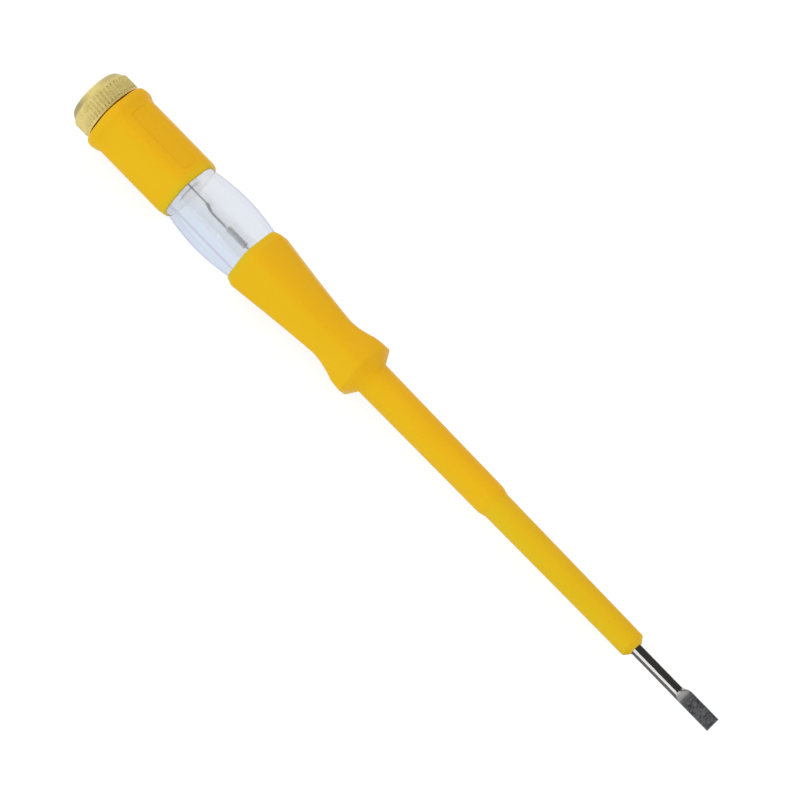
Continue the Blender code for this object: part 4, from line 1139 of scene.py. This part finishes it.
class MakeCap(bpy.types.Operator):
    """Makes the brass contact cap with its ribs, its threaded stud and the spring"""
    bl_idname = "tester.make_cap"
    bl_label = "Contact cap and spring"

    def execute(self, context):
        size = context.scene.tester_cap
        self.make_head(size)
        helix = helix_tree()
        self.make_thread(size, helix)
        self.make_spring(size, helix)
        return {"FINISHED"}

    def make_head(self, size):
        """The head with its hollow stud, and the ribs round the head."""
        face = rear_of("contact_cap")
        rim = face + size.head - size.rim
        rim_end = face + size.head + size.rim_lap
        stud_end = front_of("contact_cap")
        root = size.radius - size.rib_depth
        core = size.stud - size.thread
        slope = size.chamfer / (size.radius - size.face)
        shoulder = 0.4 * size.rib_depth
        line = turned(
            (face, 0.0),
            (face, size.face, 0.9 * MM),
            (face + size.chamfer - slope * shoulder, size.radius - shoulder, 0.2 * MM),
            (face + size.chamfer + 0.25 * MM, root, 0.1 * MM),
            (rim, root),
            (rim_end, root, 0.12 * MM),
            (rim_end, core),
            (stud_end, core, 0.15 * MM),
            (stud_end, size.bore, 0.1 * MM),
            (stud_end - size.bore_depth, size.bore, 0.1 * MM),
            (stud_end - size.bore_depth, 0.0),
            closed=False,
        )
        mount("cap_head", shell(line, 192, closed=False), "turned_brass", CAP, "brass", "contact_cap")
        rib = self.rib(size, face + size.chamfer - slope * size.rib_depth, rim)
        ribs = grown("ribs", rib, ring_tree(), Shelf.take("turned_brass"), Count=size.ribs)
        mount("cap_ribs", ribs, "turned_brass", CAP, "brass")

    def rib(self, size, rear, front):
        """One rib: a ridge with a narrow rounded top, run out at both ends and rooted in the head."""
        width = 2 * pi * size.radius / size.ribs
        rooted = 0.02 * MM
        base = size.radius - size.rib_depth - rooted
        low = base + 0.05 * MM
        stations = ((rear - 0.1 * MM, 0.0), (rear + 0.12 * MM, 0.75), (rear + 0.3 * MM, 1.0),
                    (front - 0.3 * MM, 1.0), (front - 0.1 * MM, 0.7), (front, 0.0))
        shape = bmesh.new()
        rings = []
        for place, rise in stations:
            top = partway(low, size.radius, rise)
            rings.append([shape.verts.new((place, width * (share - 0.5),
                                           partway(base, top, 0.5 - 0.5 * cos(2 * pi * share))))
                          for share in shares(8)])
        bridge(shape, rings)
        return settled(shape)

    def make_thread(self, size, helix):
        """The stud's right-hand thread, which leaves the stud plain at its root."""
        start = front_of("contact_cap") - size.thread
        plain_root = 1.4 * MM
        turns = (size.stud_length - plain_root - size.thread) / size.pitch
        thread = grown("thread", bpy.data.meshes.new("none"), helix, Shelf.take("turned_brass"),
                       **{"Start": start, "Radius": size.stud - size.thread, "Pitch": size.pitch,
                          "Turns": turns, "Wire radius": size.thread, "Sides": 4, "Hand": -1.0,
                          "Points per turn": 36})
        mount("stud_thread", thread, "turned_brass", CAP, "brass")

    def make_spring(self, size, helix):
        """The coil spring, with a closed turn at each end. It lies between handle and cap."""
        front = front_of("contact_spring")
        rear = rear_of("contact_spring")
        steel = Shelf.take("spring_wire")
        middle = front - rear - 2 * size.wire - 2 * size.end_pitch
        coil = grown("coil", bpy.data.meshes.new("none"), helix, steel,
                     **{"Start": front - size.wire, "Radius": size.coil, "Pitch": middle / (size.turns - 2),
                        "Turns": float(size.turns), "End turns": 1.0, "End pitch": size.end_pitch,
                        "Wire radius": size.wire, "Sides": 12, "Points per turn": 36})
        spring = put("pressure_spring", coil, steel)
        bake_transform(spring)
        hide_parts("contact_spring")


class MakeLamp(bpy.types.Operator):
    """Makes the neon lamp: glass, cups, leads and electrodes"""
    bl_idname = "tester.make_lamp"
    bl_label = "Neon lamp"

    def execute(self, context):
        size = context.scene.tester_lamp
        self.make_glass(size)
        self.make_cups(size)
        self.make_leads(size)
        self.make_electrodes(size)
        return {"FINISHED"}

    def make_glass(self, size):
        """The glass between the cups: a tube with a mirror-bright floor at each end."""
        front = front_of("lamp_glass") - size.glass_in_cup
        rear = rear_of("lamp_glass") + size.glass_in_seat
        inner = size.glass - size.glass_wall
        mesh = shell(turned(
            (front, size.glass_hole),
            (front, size.glass),
            (rear, size.glass),
            (rear, size.glass_hole),
            (rear + size.glass_floor, size.glass_hole),
            (rear + size.glass_floor, inner),
            (front - size.glass_floor, inner),
            (front - size.glass_floor, size.glass_hole),
        ))
        mount("lamp_envelope", mesh, "lamp_glass_finish", HANDLE, "lamp_glass", "lamp_glass")
        mesh.materials.append(Shelf.take("end_mirror"))
        for face in mesh.polygons:
            if abs(face.normal.x) > 0.5:
                face.material_index = 1

    def make_cups(self, size):
        inner = size.cup - size.cup_wall
        hole = 0.5 * MM
        for node, facing in (("lamp_front_ferrule", 1), ("lamp_rear_ferrule", -1)):
            bottom = front_of(node) if facing > 0 else rear_of(node)
            rim = bottom - facing * size.cup_length
            floor = bottom - facing * size.cup_wall
            line = turned(
                (bottom, hole),
                (bottom, size.cup, 0.3 * MM),
                (rim, size.cup, 0.06 * MM),
                (rim, inner, 0.06 * MM),
                (floor, inner),
                (floor, hole),
            )
            mount(node.replace("ferrule", "cup"), shell(line), "nickel", HANDLE, "nickel_plate", node)

    def make_rod(self, size, name, finish, slot, node, stations, sides=12):
        """A wire through (place, offset, radius), its offset the way the electrodes lie off the axis."""
        points = [Vector((place, offset * sin(size.turn), -offset * cos(size.turn)))
                  for place, offset, radius in stations]
        radii = [radius for place, offset, radius in stations]
        mount(name, wire(points, radii, sides), finish, HANDLE, slot, node)

    def make_leads(self, size):
        for node, facing, offset in (("lamp_front_lead", 1, size.front_offset),
                                     ("lamp_rear_lead", -1, size.rear_lead_offset)):
            start, stop = front_of(node), rear_of(node)
            if facing < 0:
                start, stop = stop, start
            stations = [(start - facing * size.lead_bend * share, eased(0, offset, share), size.lead)
                        for share in shares(12)]
            stations.append((stop, offset, size.lead))
            self.make_rod(size, node + "_wire", "electrode_coat", "nickel_plate", node, stations)

    def make_electrodes(self, size):
        rear = rear_of("lamp_rear_electrode")
        front = front_of("lamp_rear_electrode")
        stations = [(rear - 0.1 * MM, size.rear_lead_offset, 0.6 * size.rear_root)]
        for share in shares(12):
            stations.append((rear + 0.05 * MM + size.rear_bend * share,
                             eased(size.rear_lead_offset, size.rear_offset, share),
                             eased(size.rear_root, size.rear_rod, share)))
        stations.append((front - 0.05 * MM, size.rear_offset, size.rear_rod))
        stations.append((front, size.rear_offset, 0.7 * size.rear_rod))
        self.make_rod(size, "rear_electrode_rod", "electrode_coat", "electrode_metal",
                      "lamp_rear_electrode", stations)

        rear = rear_of("lamp_front_electrode")
        front = front_of("lamp_front_electrode")
        stations = [(place, size.front_offset, rise * size.front_rod) for place, rise in (
            (rear, 0.5), (rear + 0.06 * MM, 0.85), (rear + 0.2 * MM, 1.0),
            (front - 0.2 * MM, 1.0), (front - 0.06 * MM, 0.85), (front, 0.5))]
        self.make_rod(size, "front_electrode_rod", "rod_coat", "electrode_metal",
                      "lamp_front_electrode", stations, sides=24)


class FinishInside(bpy.types.Operator):
    """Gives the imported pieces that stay, inside the barrel, their finishes"""
    bl_idname = "tester.finish_inside"
    bl_label = "Inner pieces"

    def execute(self, context):
        for finish, nodes in (("resistor_coat", ("resistor_rod",)),
                              ("turned_brass", ("threaded_bush", "resistor_front_cap", "resistor_rear_cap")),
                              ("solder", ("lamp_front_solder", "lamp_rear_solder"))):
            for node in nodes:
                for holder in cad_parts[node].material_slots:
                    holder.material = Shelf.take(finish)
        return {"FINISHED"}


class SetStudio(bpy.types.Operator):
    """Sets the floor, the world, the soft boxes, the cards for reflections and the camera"""
    bl_idname = "tester.set_studio"
    bl_label = "Studio"

    def execute(self, context):
        settings = context.scene.tester_studio
        self.make_floor(settings, context.scene.tester_grips)
        self.make_world(context, settings)
        self.make_light("front_soft_box", settings.key, settings.key_colour,
                        azimuth=0, elevation=17, far=0.7, width=1.0, height=0.42)
        self.make_light("rear_soft_box", settings.rear, settings.rear_colour,
                        azimuth=-115, elevation=38, far=0.9, width=0.7, height=0.5)
        self.make_cards()
        self.make_camera(context, settings)
        context.scene.view_settings.view_transform = "Standard"
        return {"FINISHED"}

    def seen_directly(self, nodes):
        """1 where the camera, a reflection or a clear piece shows the surface, else 0."""
        path = nodes.node("LightPath").outputs
        mirrored = nodes.math("MAXIMUM", path["Is Glossy Ray"], path["Is Transmission Ray"])
        return nodes.math("MAXIMUM", path["Is Camera Ray"], mirrored)

    def make_floor(self, settings, grips):
        """A floor under the two places that the tool rests on, the front grip's shoulder and collar.

        The tool's axis is level, so the floor rises towards the tip by a little more than a degree.
        """
        collar = Vector((front_of("front_grip") - grips.cone, -grips.collar_front))
        shoulder = Vector((collar.x - grips.collar - grips.flare - grips.taper, -grips.shoulder))
        slope = (collar.y - shoulder.y) / (collar.x - shoulder.x)
        clearance = 0.02 * MM
        shape = bmesh.new()
        bmesh.ops.create_grid(shape, x_segments=16, y_segments=16, size=3.0)
        for vert in shape.verts:
            vert.co.x += MIDDLE.x
            vert.co.z = shoulder.y + slope * (vert.co.x - shoulder.x) - clearance
        paint = Paint("studio_floor")
        seen = self.seen_directly(paint)
        shade = settings.floor_shade
        lit = (settings.floor,) * 3
        shown = (0.85 * shade, 0.95 * shade, 1.1 * shade)
        material = paint.sets(
            Base_Color=paint.blend(seen, lit, shown),
            Roughness=0.9,
            Specular_IOR_Level=0.0,
            Emission_Color=(1.0, 1.0, 1.0, 1.0),
            Emission_Strength=paint.times(seen, 1.08 - shade * 0.86),
        )
        put("floor", plain(shape), material)

    def make_world(self, context, settings):
        """Light from all round; the camera, reflections and clear pieces see it white."""
        world = bpy.data.worlds.new("studio")
        world.use_nodes = True
        context.scene.world = world
        nodes = Nodes(world.node_tree, "ShaderNode")
        light = tuple(settings.room * part for part in settings.room_colour)
        shown = nodes.blend(self.seen_directly(nodes), light, (1.0, 1.0, 1.0))
        nodes.links.new(shown, nodes.nodes["Background"].inputs["Color"])

    def make_light(self, name, level, tone, azimuth, elevation, far, width, height):
        """A soft box that faces the tool's middle from the near side; level 1 lights white to 1."""
        lamp = bpy.data.lights.new(name, "AREA")
        lamp.shape = "RECTANGLE"
        lamp.size = width
        lamp.size_y = height
        lamp.color = tone
        lamp.energy = level * pi * pi * far ** 2
        away = direction(radians(azimuth), radians(elevation))
        holder = bpy.data.objects.new(name, lamp)
        holder.location = MIDDLE + away * far
        holder.rotation_euler = away.to_track_quat("Z", "Y").to_euler()
        holder.visible_camera = False
        holder.visible_glossy = False
        bpy.context.scene.collection.objects.link(holder)

    def make_cards(self):
        """A dark card that curves over the tool and a grey one on the floor; only reflections show them."""
        reach = 500 * MM
        low = -4.2 * MM
        start, stop, steps = 42, 180, 12
        turns = [radians(start + (stop - start) * k / steps) for k in range(steps + 1)]
        over = [(-cos(t) * reach, sin(t) * reach) for t in turns]
        self.make_card("dark_card", over, rear=-190 * MM, front=120 * MM, tone=0.04)
        self.make_card("grey_card", [(-reach, low), (0.0, low)], rear=-28 * MM, front=60 * MM, tone=0.15)

    def make_card(self, name, line, rear, front, tone):
        shape = bmesh.new()
        near = [shape.verts.new((rear, y, z)) for y, z in line]
        far = [shape.verts.new((front, y, z)) for y, z in line]
        for i in range(len(line) - 1):
            shape.faces.new((near[i], near[i + 1], far[i + 1], far[i]))
        card = put(name, plain(shape), Paint(name).sets(
            Base_Color=(0.0, 0.0, 0.0, 1.0), Specular_IOR_Level=0.0,
            Emission_Color=(1.0, 1.0, 1.0, 1.0), Emission_Strength=tone))
        for ray in ("camera", "diffuse", "transmission", "shadow", "volume_scatter"):
            setattr(card, "visible_" + ray, False)

    def make_camera(self, context, settings):
        """The photograph's view: a long lens, aimed at the tool's middle and rolled."""
        roll = settings.roll
        back = direction(settings.azimuth, settings.elevation)
        right = Vector((0, 0, 1)).cross(back).normalized()
        up = back.cross(right)
        side = cos(roll) * right + sin(roll) * up
        top = cos(roll) * up - sin(roll) * right
        place = MIDDLE + back * settings.distance
        lens = bpy.data.cameras.new("camera")
        lens.lens = settings.lens
        lens.sensor_width = 36
        lens.clip_end = 10
        lens.shift_x, lens.shift_y = (pixels / PHOTO_SIDE for pixels in PHOTO_SHIFT)
        camera = bpy.data.objects.new("camera", lens)
        camera.matrix_world = Matrix((
            (side.x, top.x, back.x, place.x),
            (side.y, top.y, back.y, place.y),
            (side.z, top.z, back.z, place.z),
            (0, 0, 0, 1),
        ))
        context.scene.collection.objects.link(camera)
        context.scene.camera = camera


class TesterPanel(bpy.types.Panel):
    """Lists the operators that make the tool"""
    bl_idname = "TESTER_PT_make"
    bl_label = "Voltage tester"
    bl_space_type = "VIEW_3D"
    bl_region_type = "UI"
    bl_category = "Tester"

    def draw(self, context):
        for operator in OPERATORS:
            self.layout.operator(operator.bl_idname)


GROUPS = {
    "tester_blade": BladeSizes,
    "tester_sleeves": SleeveSizes,
    "tester_grips": GripSizes,
    "tester_window": WindowSizes,
    "tester_cap": CapSizes,
    "tester_lamp": LampSizes,
    "tester_finishes": Finishes,
    "tester_studio": StudioSettings,
}
OPERATORS = (SetStudio, MakeBlade, MakeSleeves, MakeFrontGrip, MakeWindow, MakeRearGrip, MakeCap,
             MakeLamp, FinishInside)


def register():
    for name, group in GROUPS.items():
        bpy.utils.register_class(group)
        setattr(bpy.types.Scene, name, PointerProperty(type=group))
    for kind in (*OPERATORS, TesterPanel):
        bpy.utils.register_class(kind)


def unregister():
    for kind in (TesterPanel, *reversed(OPERATORS)):
        bpy.utils.unregister_class(kind)
    for name, group in reversed(GROUPS.items()):
        delattr(bpy.types.Scene, name)
        bpy.utils.unregister_class(group)


def main():
    register()
    for operator in OPERATORS:
        family, action = operator.bl_idname.split(".")
        getattr(getattr(bpy.ops, family), action)()


if __name__ == "__main__":
    main()
